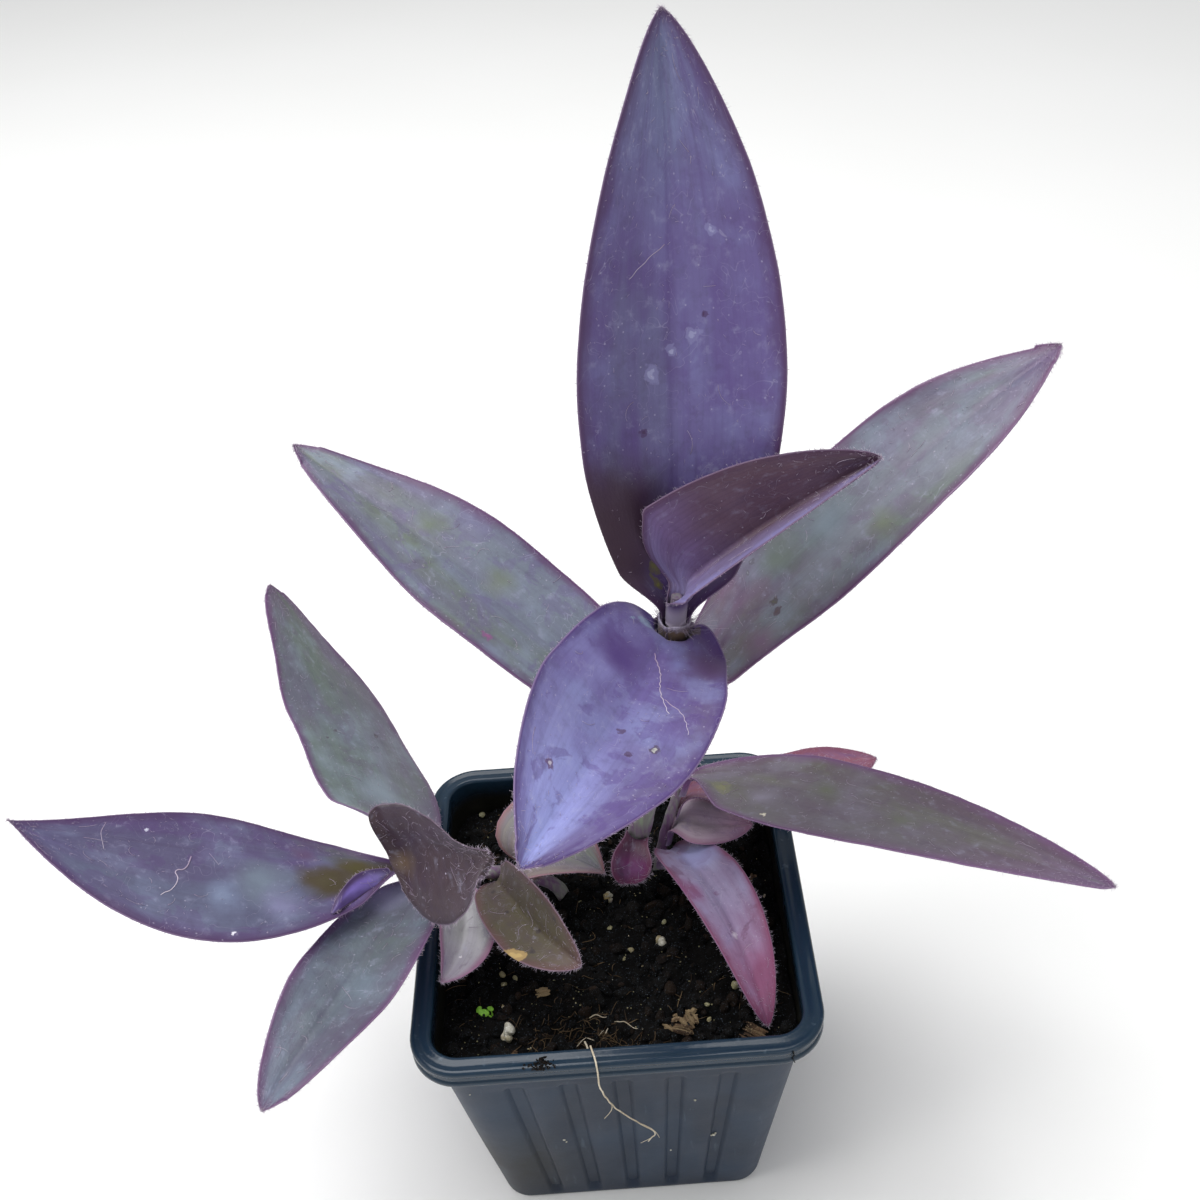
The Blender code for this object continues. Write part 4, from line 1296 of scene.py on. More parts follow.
@dataclass(frozen=True)
class SheathMouth:
    """The open end of a leaf's sheath: a thin collar round a stem, with long hairs on its rim.

    Foot and mouth are shares of the stem's length, and the sizes millimetres.
    """

    name: str
    foot: float
    mouth: float
    foot_radius: float
    mouth_radius: float
    wall: float = 0.35
    sides: int = 44
    rim_hairs: int = 90
    tuft: int = 34

    def build(self, stem: Stem) -> list[Piece]:
        """Build and dress the collar and its hairs.

        Args:
            stem: the stem that it stands round.

        Returns:
            The collar's piece and its hairs' piece.
        """
        turns = np.arange(self.sides) * 2 * pi / self.sides
        circle = np.stack([np.cos(turns), np.sin(turns), 0 * turns], 1)
        ragged = 0.55 * SoftNoise(81).at(circle, 0.9)
        pleats = 0.10 * SoftNoise(82).at(circle, 0.16)
        shares = np.linspace(0, 1, 13)
        rounds = self.foot_radius + (self.mouth_radius - self.foot_radius) * shares**1.6
        profile = list(zip(shares, rounds)) + [(share, size - self.wall) for share, size in
                                               zip(shares[:3:-1], rounds[:3:-1])]
        rings = []
        for share, size in profile:
            place, axis, _ = stem.place(self.foot + (self.mouth - self.foot) * share)
            east = unit(np.cross(np.array([0.0, 1.0, 0.0]), axis))
            north = np.cross(axis, east)
            flare = (size + pleats * share)[:, None]
            rings.append(place + flare * (circle[:, :1] * east + circle[:, 1:2] * north)
                         + (ragged * share**3)[:, None] * axis)
        noted = np.repeat([share for share, _ in profile], self.sides)
        skin = Shape(np.concatenate(rings), wall_faces(len(rings), self.sides), {"thread_share": noted})
        collar = skin.piece(self.name, SheathSkin().material(self.name), "leaf")
        chance = np.random.default_rng(83)
        _, axis, _ = stem.place(self.mouth)
        rim, below = rings[len(shares) - 1], rings[len(shares) - 3]
        hairs = []
        for number in range(self.rim_hairs + self.tuft):
            # The tuft stands on the rim's right-hand front.
            tufted = number >= self.rim_hairs
            turn = chance.normal(-0.06, 0.06) * self.sides if tufted else chance.integers(self.sides)
            turn = int(turn) % self.sides
            out = unit(rim[turn] - rim.mean(0))
            way = axis * chance.uniform(0.1, 1.0) + out * chance.uniform(0.3, 1.0) + chance.normal(0, 0.35, 3)
            length = chance.uniform(2.5, 6.0) if tufted else chance.uniform(1.0, 3.2)
            root = rim[turn] + (below[turn] - rim[turn]) * chance.uniform(0.05, 0.9)
            bend = chance.normal(0, 0.25, 3) * length
            way = unit(way) * length
            path = np.stack([root, root + way * 0.5 + bend * 0.3, root + way + bend])
            hairs.append(thread(smooth_curve(path, 4), np.linspace(0.05, 0.014, 9), 3))
        fringe = Shape.joined(hairs).piece(self.name + "_hairs", leaf_hairs(), "leaf")
        return [collar, fringe]


@dataclass(frozen=True)
class Shoot:
    """A stem with its leaves."""

    stem: Stem
    leaves: tuple[Leaf, ...]
    mouths: tuple[SheathMouth, ...] = ()

    def build(self) -> list[Piece]:
        """Build the stem, then each leaf on it and each open sheath.

        Returns:
            Their pieces.
        """
        made = [self.stem.build()]
        for part in (*self.leaves, *self.mouths):
            made += part.build(self.stem)
        return made


def main_shoot() -> Shoot:
    """The upright stem with six leaves.

    Returns:
        The shoot.
    """
    stem = Stem("stem_main", ((3, 18, 57), (5.5, 16, 74), (10, 13, 96), (14.5, 8, 124), (17, 5.5, 152),
                              (18, 5, 164)), 3.3, 1, 0.97)
    return Shoot(stem, (
        Leaf("leaf_main_top", LeafTone.TOP, 0.87, 110.5, 40.5, 76, 74, 74, 4, 1, turn=3.5, swing=19, roll=7,
             twist=16, widest=0.45, foot=0.23, swell=0.78, taper=0.74, fold=10, cup=11, thick=0.7,
             downy=0.6, lint=12, scratches=(((2, 73.2), (6, 71), (10.1, 68), 0.07),)),
        Leaf("leaf_main_young", LeafTone.YOUNG, 0.925, 48.9, 36.4, 0.6, 42.8, 23.8, 4.7, 0.55, turn=6.5,
             opening=10, swing=9, roll=29.4, twist=-3.1, widest=0.083, foot=0.37, swell=0.3, taper=0.73,
             fold=50.8, cup=8.3, thick=0.7),
        Leaf("leaf_main_front", LeafTone.FRONT, 0.8, 83.5, 33.5, -107, 16, 8, 6, 2.05, turn=10, swing=-7,
             roll=-18, twist=-12, widest=0.5, foot=0.4, swell=0.6, taper=0.81, fold=13, cup=12, wave=0.8,
             downy=0.6, lint=7, lobes=5, scratches=(
                 ((-0.8, 16.1), (2.4, 22), (4.2, 28.3), (7.5, 34.9), 0.13),
                 ((5.6, 30.6), (9.6, 34), (12.6, 40), 0.09))),
        Leaf("leaf_main_right", LeafTone.RIGHT, 0.61, 108, 29.5, 12, 54, 25, clearance=0.95, turn=7,
             opening=18, swing=8, roll=9, twist=2, widest=0.53, foot=0.2, swell=0.72, taper=0.73, fold=4,
             cup=9, wave=0.7),
        Leaf("leaf_main_left", LeafTone.LEFT, 0.47, 107.5, 31, 148, 36, 22, swing=-1, roll=-4, widest=0.45,
             taper=0.77, fold=6, cup=7, wave=0.7),
        Leaf("leaf_main_bud", LeafTone.BUD, 0.238, 13.9, 10.7, -109, 0, -83.3, 0.5, wrap=55, mouth=1,
             turn=3.1, opening=7, roll=-19.2, widest=0.59, foot=0.3, swell=1.3, taper=0.65, fold=18, cup=20,
             thick=0.7, downy=2.5, lint=8),
    ), (SheathMouth("sheath_mouth", 0.845, 0.932, 3, 3.35),))


def left_shoot() -> Shoot:
    """The stem that leans out over the left rim, with seven leaves.

    Returns:
        The shoot.
    """
    stem = Stem("stem_left", ((-11, 11, 57), (-14, 10, 71), (-25, 7.5, 80), (-36, 5, 83.5),
                              (-43.5, 3.5, 88.5), (-46.5, 3, 100)), 1.8, 1.1)
    return Shoot(stem, (
        Leaf("leaf_left_low", LeafTone.LOW, 0.31, 28, 32, 17, 26, -49, 1.5, 0.35, 55, 2, 10.5, 10, -31, -4, 4,
             widest=0.2, foot=0.34, swell=1.15, taper=1.07, fold=26, cup=6, thick=0.7, downy=1.4),
        Leaf("leaf_left_inner", LeafTone.INNER, 0.425, 46, 18, -73, 29, 3, 1.5, 0.9, 55, 2, 6, 10, 25, 28, 14,
             widest=0.64, foot=0.31, swell=0.75, taper=0.64, fold=27, cup=13, thick=0.7, downy=1.4),
        Leaf("leaf_left_pale", LeafTone.PALE, 0.575, 30.5, 15, -76, -22, 16, 1.5, 1.35, 55, 2, 3.5, 10, -38,
             -22, -13, widest=0.53, foot=0.21, taper=0.86, fold=24, cup=12, thick=0.7, downy=1.4),
        Leaf("leaf_left_up", LeafTone.UP, 0.85, 94, 34.5, 109, -10, 32, 2, 0.55, 55, 2, 3.5, 17, 15,
             roll=40, twist=-2, widest=0.34, foot=0.42, swell=0.7, taper=0.65, fold=-4, cup=3, wave=0.5),
        Leaf("leaf_left_down", LeafTone.DOWN, 0.65, 73, 24, -114, 12, 4, 2, wrap=55, mouth=2, turn=8.5,
             swing=2, roll=5, twist=-12, widest=0.46, foot=0.27, swell=1.1, taper=0.69, fold=9, cup=9,
             wave=0.5),
        Leaf("leaf_left_long", LeafTone.LONG, 0.785, 88.5, 32, 215, 21, 37, 2, 0.6, 55, 2, 8.5, 18, -42, -7,
             -3, widest=0.51, foot=0.12, swell=1.25, taper=1.14, fold=-5, downy=0.7, lint=22, scratches=(
                 ((-4, 51.7), (-1, 52.5), (0.5, 54.6), (2.4, 54), (4.6, 54.6), (7.2, 56.8), 0.16),
                 ((-12.8, 70.6), (-8, 70.9), (-2, 69.4), 0.07))),
        ShapedLeaf(
            "leaf_left_tip", LeafTone.TIP, 0.94, 44, 29, -59, 34, 32, 0, thick=0.7, downy=1.5,
            lint=50, rows=(
                ((-46, 1.6, 98.6), (-46.1, 2.2, 99.3), (-46.4, 2.6, 100.2), (-46.7, 3.1, 101),
                 (-46.9, 3.5, 101.7)),
                ((-46, -8.6, 99.9), (-47.2, -6.6, 101.4), (-48.1, -4.6, 103.5), (-50.1, -2.7, 108.2),
                 (-50.8, -2.1, 111.8)),
                ((-43.1, -13.8, 97.2), (-43.7, -10.2, 100.6), (-44.2, -6, 105),
                 (-46.8, -3.7, 110.6), (-48.4, -1.9, 115.9)),
                ((-37.6, -22.3, 100.9), (-38.3, -17.4, 105.5), (-38.8, -11.7, 111.8),
                 (-40.5, -10.5, 117.6), (-41.1, -9.5, 123.7)),
                ((-32.2, -27.8, 106.7), (-32.7, -22.9, 111.6), (-32.9, -17.7, 117.6),
                 (-33.6, -17.8, 122.6), (-34, -18, 127.8)),
                ((-27.2, -30.8, 115.5), (-27.1, -27.4, 119.1), (-27.2, -24.1, 123.1),
                 (-27.6, -24.6, 125.9), (-27.5, -25.6, 128.5)),
                ((-24.7, -31.2, 124), (-23.6, -29.7, 125.7), (-22.7, -28.6, 127),
                 (-22.8, -27.9, 127.7), (-23.2, -27.4, 128.3)),
                ((-23.2, -31, 124.4), (-22.2, -30, 126), (-21.4, -29.1, 127.2),
                 (-21.3, -28.5, 127.8), (-21.9, -27.9, 128.5)),
                ((-22.3, -30.4, 124.9), (-21.6, -29.8, 125.9), (-21.1, -29.3, 126.7),
                 (-21, -28.9, 127.2), (-21.3, -28.4, 127.8)))),
        # The long leaf's lower margin curls over near its foot and shows the violet underside.
        ShapedLeaf(
            "long_leaf_curl", LeafTone.CURL, 0.785, 20, 4, 215, 21, 37, 0, thick=0.5, lint=4,
            is_node=False, rows=(
                ((-59.9, -16.1, 97.7), (-59.9, -16, 98), (-60.2, -15.6, 97.9)),
                ((-58.1, -14.6, 97.7), (-58.5, -13.7, 98.7), (-59.3, -12.6, 98.8)),
                ((-56.4, -11.6, 96.1), (-56.9, -9.9, 97.9), (-57.6, -8.4, 98.6)),
                ((-54, -8.2, 94.8), (-54.6, -6.8, 96.9), (-55.6, -4.7, 97.6)),
                ((-51.4, -4.8, 93.5), (-52.2, -3.9, 94.9), (-53.1, -2, 95.5)),
                ((-49.2, -1.1, 91.6), (-49.5, -0.6, 92.5), (-50.2, 0.4, 92.8)))),
    ))


def right_shoot() -> Shoot:
    """The short stem on the right, with four leaves.

    Returns:
        The shoot.
    """
    stem = Stem("stem_right", ((11, 15, 57), (12, 15.7, 70), (14, 17.5, 80), (17, 20, 89), (19, 21, 95)),
                1.6, 1)
    return Shoot(stem, (
        Leaf("leaf_right_front", LeafTone.RIGHT_FRONT, 0.34, 62.5, 17, -61, 45, -53, 1.5, 0.95, 55, 2, 7.5,
             swing=-14, roll=-11, twist=-2, widest=0.39, foot=0.39, swell=1.05, taper=0.68, fold=9, cup=12,
             thick=0.8, downy=1.2),
        Leaf("leaf_right_small", LeafTone.RIGHT_SMALL, 0.505, 24, 15.5, -20, -11, -11, 1.5, 0.45, 55, 2, 8.5,
             8, 34, widest=0.42, foot=0.38, swell=0.95, taper=0.8, fold=7, cup=3, thick=0.7, downy=1.2),
        Leaf("leaf_right_back", LeafTone.RIGHT_BACK, 0.69, 59, 16.1, 21.6, -15, -6.4, 1.5, wrap=55, mouth=2,
             turn=7.5, swing=-5.7, roll=-10, twist=13.1, widest=0.7, foot=0.3, swell=0.95, taper=0.75,
             fold=-3.2, cup=3.5, thick=0.8, downy=1.2),
        Leaf("leaf_right_long", LeafTone.RIGHT_LONG, 0.87, 102.5, 31.5, -30, 17, -7, 2, 0.55, 55, 2, 6, 18, 1,
             -11, -5, widest=0.34, foot=0.34, swell=1.05, taper=0.66, fold=-10, cup=23),
    ))


# Pot and soil

@dataclass(frozen=True)
class NurseryPot:
    """Square nursery pot: a tapered, fluted body under a flat rim band. Sizes in millimetres."""

    rim_half: float = 45.0
    body_top_half: float = 41.8
    base_half: float = 33.0
    height: float = 78.0
    skirt: float = 5.0
    rim_width: float = 4.6
    rim_edge: float = 0.9
    rim_corner: float = 11.0
    rim_foot: float = 70.5
    base_corner: float = 7.0
    wall: float = 1.1
    floor: float = 1.6
    base_edge: float = 1.0
    flutes: int = 5
    flute_pitch: float = 12.2
    flute_half: float = 2.8
    flute_flat: float = 0.8
    flute_depth: float = 1.5
    flute_top: float = 64.5
    flute_run_out: float = 1.5
    drain_radius: float = 4.0
    drain_offset: float = 16.0
    crease: float = 38.0

    def half(self, height: float) -> float:
        """Half width of the tapered body at a height."""
        return self.base_half + (self.body_top_half - self.base_half) * height / (self.height - self.skirt)

    def corner(self, height: float) -> float:
        """Corner radius of the body at a height."""
        low = self.base_corner
        return low + (self.rim_corner - 1.0 - low) * height / (self.height - self.skirt)

    def section(self, level: float, draw: float = 0.0, flute: float = 0.0) -> tuple[float, ...]:
        """Half width, corner radius, height and flute depth of the body, drawn in from its outer face."""
        return self.half(level) - draw, self.corner(level) - draw, level, flute

    def outline(self, half: float, corner: float, flute: float) -> Array:
        """Points round a square with rounded corners.

        Args:
            half: half its width.
            corner: its corners' radius.
            flute: how deep its flutes are.

        Returns:
            The points, always the same number.
        """
        side: list[tuple[float, float]] = []
        spread = half / self.body_top_half
        for place in range(self.flutes):
            middle = (place - (self.flutes - 1) / 2) * self.flute_pitch * spread
            for step in np.linspace(-self.flute_half, self.flute_half, 11):
                depth = ease((self.flute_half - abs(step)) / (self.flute_half - self.flute_flat))
                side.append((middle + step * spread, -half + flute * float(depth)))
        for turn in np.linspace(0, pi / 2, 13):
            side.append((half - corner + corner * sin(turn), -half + corner - corner * cos(turn)))
        points = []
        for quarter in range(4):
            c, s = cos(pi / 2 * quarter), sin(pi / 2 * quarter)
            points += [(c * x - s * y, s * x + c * y) for x, y in side]
        return np.array(points)

    def profile(self) -> list[tuple[float, ...]]:
        """Go up the pot's outside, over its rim and down its inside.

        Returns:
            A half width, corner radius, height and flute depth for each ring of points.
        """
        skirt = self.height - self.skirt
        edge = self.rim_edge
        inner = self.rim_half - self.rim_width
        inner_corner = self.rim_corner - self.rim_width
        rows = []
        for turn in np.linspace(0, pi / 2, 5):
            rows.append(self.section(self.base_edge * (1 - cos(turn)), self.base_edge * (1 - sin(turn))))
        # The flutes deepen over 4.5 mm above the foot, and run out again at their top.
        ends = self.flute_top - self.flute_run_out
        for level in (1.8, 2.6, 3.4, 4.2, 5.0, 6.0, *np.linspace(9, ends, 13)):
            rows.append(self.section(level, flute=self.flute_depth * float(ease((level - 1.5) / 4.5))))
        for part in (0.25, 0.5, 0.75, 1.0):
            level = ends + part * self.flute_run_out
            rows.append(self.section(level, flute=self.flute_depth * (1 - float(ease(part)))))
        rows += [self.section(level) for level in (66.0, 69.0, 72.0, skirt)]
        # The band has a bead along its foot and another along its top.
        for out, level in ((0.45, 0.0), (0.13, 0.13), (0.0, 0.45), (0.0, 1.0), (0.12, 1.35), (0.4, 1.7),
                           (0.4, 3.0), (0.12, 3.35), (0.0, 3.7)):
            rows.append((self.rim_half - out, self.rim_corner - out, skirt + level, 0.0))
        for turn in np.linspace(0, pi / 2, 6):
            draw = edge * (1 - cos(turn))
            level = self.height - edge * (1 - sin(turn))
            rows.append((self.rim_half - draw, self.rim_corner - draw, level, 0.0))
        # A shallow groove runs round the top of the rim.
        for out, level in ((0.3, 0.0), (0.75, -0.3), (1.9, -0.3), (2.4, 0.0)):
            rows.append((self.rim_half - edge - out, self.rim_corner - edge - out, self.height + level, 0.0))
        for turn in np.linspace(pi / 2, 0, 6):
            grow = edge * (1 - cos(turn))
            rows.append((inner + grow, inner_corner + grow, self.height - edge * (1 - sin(turn)), 0.0))
        low_half, low_corner, *_ = self.section(self.rim_foot, self.wall)
        for level in (75.0, 73.0, self.rim_foot):
            share = (self.height - level) / (self.height - self.rim_foot)
            rows.append((inner + (low_half - inner) * share,
                         inner_corner + (low_corner - inner_corner) * share, level, 0.0))
        rows += [self.section(level, self.wall) for level in (60.0, 40.0, 20.0, self.floor)]
        return rows

    def build(self) -> list[Piece]:
        """Build and dress the pot, with the marks that it has got in use.

        Returns:
            Its pieces.
        """
        rings = []
        for half, corner, height, flute in self.profile():
            outline = self.outline(half, corner, flute)
            rings.append(np.column_stack([outline, np.full(len(outline), height)]))
        points = np.concatenate(rings)
        # A thin wall isn't dead straight: it bows by a tenth of a millimetre.
        points[:, :2] *= 1 + 0.0025 * SoftNoise(3).at(points, 30.0)[:, None]
        around = len(rings[0])
        under, floor = tuple(reversed(range(around))), tuple(range(len(points) - around, len(points)))
        made = Shape(points, [under, *wall_faces(len(rings), around), floor]).piece(
            "nursery_pot", MouldedPolypropylene().material("nursery_pot"), "pot_plastic", crease=self.crease)
        self.open_drains(made)
        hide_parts("pot")
        return [made, self.build_flecks(), self.build_dirt_and_crack_shade()]

    def build_flecks(self) -> Piece:
        """Build and dress the white flecks on the pot's faces, each at its place and of its size.

        Returns:
            Their piece.
        """
        flecks = []
        for number, (*place, size) in enumerate((
                (16.1, -39.3, 51.7, 0.3), (20.5, -35.7, 29.3, 0.5), (20.9, -35.8, 30.2, 0.25),
                (19.9, -35.6, 28.9, 0.3), (-15.1, -37.2, 34.5, 0.3), (-14.7, -37.1, 33.4, 0.22),
                (-33.6, -40.2, 62.2, 0.2), (10, -34.9, 22, 0.22), (44.9, -20, 75.5, 0.25),
                (44.9, -2, 74.8, 0.2))):
            # A fleck is flattest across the face that it lies on, the right one or the front one.
            on_side = abs(place[0]) > abs(place[1])
            sizes = size * np.array([0.35, 1.0, 1.3] if on_side else [1.0, 0.35, 1.3])
            flecks.append(lump(np.array(place), sizes, np.array([0.1, 0.3, 0.0]), 2, number, 0.5))
        return GroundStuff.PERLITE.piece("pot_flecks", flecks)

    def build_dirt_and_crack_shade(self) -> Piece:
        """Build and dress the smear of soil on the front rim, and a dark thread of painted shade along the
        small crack near its corner.

        Returns:
            Their piece.
        """
        chance = np.random.default_rng(91)
        shapes = []
        for number in range(110):
            x, y = chance.normal(-16.5, 1.3), float(np.clip(chance.normal(-43.9, 0.6), -44.8, -41.5))
            sizes = chance.uniform(0.15, 0.5) * np.array([1.3, 0.9, 0.5])
            turn = chance.uniform(0, 6, 3)
            centre = np.array([x, y, self.height - 0.2])
            shapes.append(lump(centre, sizes, turn, 1, number, 0.5, 0.3 * chance.random()))
        # The crack's darkness is painted shade: a dark thread laid along it.
        crack_shade = ((36.8, -44.8, 77.7), (37, -45, 76.6), (36.7, -44.7, 75.2), (37.3, -45, 73.7))
        shapes.append(thread(np.array(crack_shade), np.array([0.16, 0.2, 0.15, 0.1]), 5).toned(0.0))
        return GroundStuff.CRUMB.piece("rim_soil_and_crack_shade", shapes)

    def open_drains(self, pot: Piece) -> None:
        """Cut the four drain holes in the pot's floor.

        Args:
            pot: the pot's piece.
        """
        shape = bmesh.new()
        for x, y in product((-self.drain_offset, self.drain_offset), repeat=2):
            pin = bmesh.ops.create_cone(shape, cap_ends=True, segments=32, radius1=self.drain_radius * MM,
                                        radius2=self.drain_radius * MM, depth=4 * self.floor * MM)
            bmesh.ops.translate(shape, verts=pin["verts"], vec=(x * MM, y * MM, 0.0))
        mesh = bpy.data.meshes.new("drain_pins")
        shape.to_mesh(mesh)
        shape.free()
        pins = put_in_scene("drain_pins", mesh)
        cut = pot.modifiers.new("drains", "BOOLEAN")
        cut.operation = "DIFFERENCE"
        cut.solver = "EXACT"
        cut.object = pins
        bpy.context.view_layer.update()
        holed = bpy.data.meshes.new_from_object(pot.evaluated_get(bpy.context.evaluated_depsgraph_get()))
        pot.modifiers.clear()
        pot.data = holed
        bpy.data.objects.remove(pins)
        holed.set_sharp_from_angle(angle=radians(self.crease))


@dataclass(frozen=True)
class PottingSoil:
    """Dark mix of peat and bark that fills the pot, with what lies on it. Sizes in millimetres."""

    pot: NurseryPot
    level: float = 67.5
    gap: float = 0.2
    cells: int = 138
    splinter_gap: float = 0.42

    def surface(self, x: Array, y: Array) -> Array:
        """Find the height of the uneven surface with its crumbs.

        Args:
            x: places to the right.
            y: places to the back.

        Returns:
            The height at each place.
        """
        swell = 0.9 * np.sin(0.13 * x + 0.6) * np.cos(0.11 * y - 0.4)
        lumps = 0.55 * np.sin(0.42 * x + 0.35 * y) * np.cos(0.31 * y - 0.2 * x + 1.0)
        crumbs = 0.35 * np.sin(1.05 * x - 0.6 * y) * np.sin(0.9 * y + 0.5 * x)
        places = np.stack([x, y, 0 * x], -1)
        rough = 1.0 * SoftNoise(21).at(places, 2.9) + 0.5 * SoftNoise(22).at(places, 1.3)
        folds = 0.25 * np.abs(SoftNoise(23).at(places, 5.0))
        return self.level + swell + lumps + crumbs + rough + folds

    def level_at(self, x: float, y: float) -> float:
        """Height of the surface with its crumbs at one place."""
        return float(self.surface(np.array([x]), np.array([y]))[0])

    def build_bed(self) -> Piece:
        """Build and dress the body of soil.

        Returns:
            Its piece.
        """
        half = self.pot.half(self.level) - self.pot.wall - self.gap
        corner = self.pot.corner(self.level) - self.pot.wall
        steps = np.linspace(-1, 1, self.cells)
        x, y = (grid * half for grid in np.meshgrid(steps, steps, indexing="ij"))
        # The grid's corners are drawn in to the pot's round ones.
        off_x, off_y = (np.maximum(np.abs(grid) - (half - corner), 0) for grid in (x, y))
        square = np.maximum(off_x, off_y)
        round_off = np.hypot(off_x, off_y) + 1e-9
        draw = np.where((off_x > 0) & (off_y > 0), square / round_off, 1.0)
        x = np.sign(x) * (np.minimum(np.abs(x), half - corner) + off_x * draw)
        y = np.sign(y) * (np.minimum(np.abs(y), half - corner) + off_y * draw)
        top = np.stack([x, y, self.surface(x, y)], 2).reshape(-1, 3)
        count = self.cells
        index = np.arange(count * count).reshape(count, count)
        faces = [tuple(map(int, face)) for face in np.stack([
            index[:-1, :-1], index[1:, :-1], index[1:, 1:], index[:-1, 1:]], 2).reshape(-1, 4)]
        border = np.concatenate([index[:-1, 0], index[-1, :-1], index[:0:-1, -1], index[0, :0:-1]])
        low_level = self.pot.floor + self.gap
        shrink = (self.pot.half(low_level) - self.pot.wall - self.gap) / half
        low = top[border] * np.array([shrink, shrink, 0]) + np.array([0, 0, low_level])
        first = len(top)
        for place in range(len(border)):
            after = (place + 1) % len(border)
            faces.append((int(border[after]), int(border[place]), first + place, first + after))
        faces.append(tuple(first + place for place in reversed(range(len(border)))))
        made = GroundStuff.PEAT.piece("soil_bed", [Shape(np.vstack([top, low]), faces)], crease=70)
        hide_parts("soil")
        return made

    def scatter(self, count: int, seed: int) -> tuple[Array, np.random.Generator]:
        """Pick places over the soil.

        Args:
            count: how many.
            seed: seed of the choice.

        Returns:
            The places on the surface, and the generator for more choices.
        """
        chance = np.random.default_rng(seed)
        reach = self.pot.half(self.level) - self.pot.wall - 2.2
        x, y = chance.uniform(-reach, reach, (2, count))
        return np.stack([x, y, self.surface(x, y)], 1), chance

    def build_crumbs(self) -> Piece:
        """Build and dress the loose crumbs.

        Returns:
            Their piece.
        """
        places, chance = self.scatter(1300, 31)
        shapes = []
        for number, place in enumerate(places):
            size = 0.35 + 1.4 * chance.random() ** 2.4
            sizes = size * chance.uniform(0.6, 1.2, 3)
            turn = chance.uniform(0, 2 * pi, 3)
            tone = min(max(0.0, chance.normal(-0.1, 0.35)), 1.0)
            detail = 2 if size > 0.55 else 1
            shapes.append(lump(place + [0, 0, size * 0.25], sizes, turn, detail, number, 0.5, tone))
        return GroundStuff.CRUMB.piece("soil_crumbs", shapes, smooth=False)

    def build_fibres(self) -> Piece:
        """Build and dress the brown fibres of the peat, which lie thickest near the front rim.

        Returns:
            Their piece.
        """
        places, chance = self.scatter(260, 41)
        near_rim = 120
        places[:near_rim, 0] = chance.normal(-8, 7, near_rim)
        places[:near_rim, 1] = np.clip(chance.normal(-32, 3.5, near_rim), -37, None)
        shapes = []
        for place in places:
            heading = chance.uniform(0, 2 * pi)
            length = chance.uniform(1.5, 6.5)
            steps = np.linspace(-0.5, 0.5, 6) * length
            bend = chance.normal(0, 0.35) * steps**2 / length * 2
            x = place[0] + steps * cos(heading) - bend * sin(heading)
            y = place[1] + steps * sin(heading) + bend * cos(heading)
            z = self.surface(x, y) + 0.15 + chance.uniform(0, 0.5) * np.sin(np.linspace(0, pi, 6))
            radius = chance.uniform(0.05, 0.13)
            fibre = thread(np.stack([x, y, z], 1), radius * np.array([0.5, 1, 1, 1, 0.9, 0.4]), 4)
            shapes.append(fibre.toned(chance.random() ** 2))
        return GroundStuff.FIBRE.piece("soil_fibres", shapes)

    def build_grit(self) -> Piece:
        """Build and dress the pale grains of sand, some of them larger and in places of their own.

        Returns:
            Their piece.
        """
        grains = (
            (3.7, -8.4, 0.7), (1.9, -11.4, 0.6), (-1.1, -2.1, 0.7), (11.9, -2.3, 0.7), (-26.7, -12.9, 0.8),
            (-26.1, -16.6, 0.7), (-23.6, -14.3, 0.7), (20.2, -25.3, 0.7), (20.4, -28.8, 0.6),
            (10.2, -36.1, 0.7), (27.1, -20.7, 1), (-33.5, 38.1, 0.9),
        )
        shapes = []
        for number, (x, y, size) in enumerate(grains):
            level = self.level_at(x, y)
            centre = np.array([x, y, level + size * 0.45])
            sizes = size * np.array([1.0, 0.85, 0.7])
            tone = (number % 4) * 0.25
            shapes.append(lump(centre, sizes, np.array([0.4, 0.3, number * 1.3]), 3, number, 0.35, tone))
        places, chance = self.scatter(420, 51)
        for number, place in enumerate(places):
            size = chance.uniform(0.1, 0.24)
            shapes.append(lump(place + [0, 0, 0.15], size * chance.uniform(0.6, 1.2, 3),
                               chance.uniform(0, 6, 3), 1, number, 0.3, chance.uniform(0, 1)))
        return GroundStuff.GRIT.piece("soil_grit", shapes)

    def build_perlite(self) -> Piece:
        """Build and dress the white grains of perlite, each of them a cluster of small bubbles.

        Returns:
            Their piece.
        """
        chance = np.random.default_rng(55)
        shapes = []
        for x, y, size in ((-25.1, -28.9, 1.8), (-1.5, 8, 1.2), (10.6, -7.2, 1.5), (-26, -22.5, 0.4),
                           (-24.3, -21.8, 0.35), (6, -13, 0.35), (-20, -33, 0.4), (31, -22, 0.3)):
            level = self.level_at(x, y)
            for number in range(7):
                centre = np.array([x, y, level + size * 0.4]) + chance.normal(0, 0.36, 3) * size
                sizes = size * chance.uniform(0.4, 0.75, 3)
                turn = chance.uniform(0, 6, 3)
                shapes.append(lump(centre, sizes, turn, 2, number, 0.3, chance.random() ** 2))
        return GroundStuff.PERLITE.piece("perlite", shapes)

    def build_bark(self) -> Piece:
        """Build and dress the chips of bark.

        Returns:
            Their piece.
        """
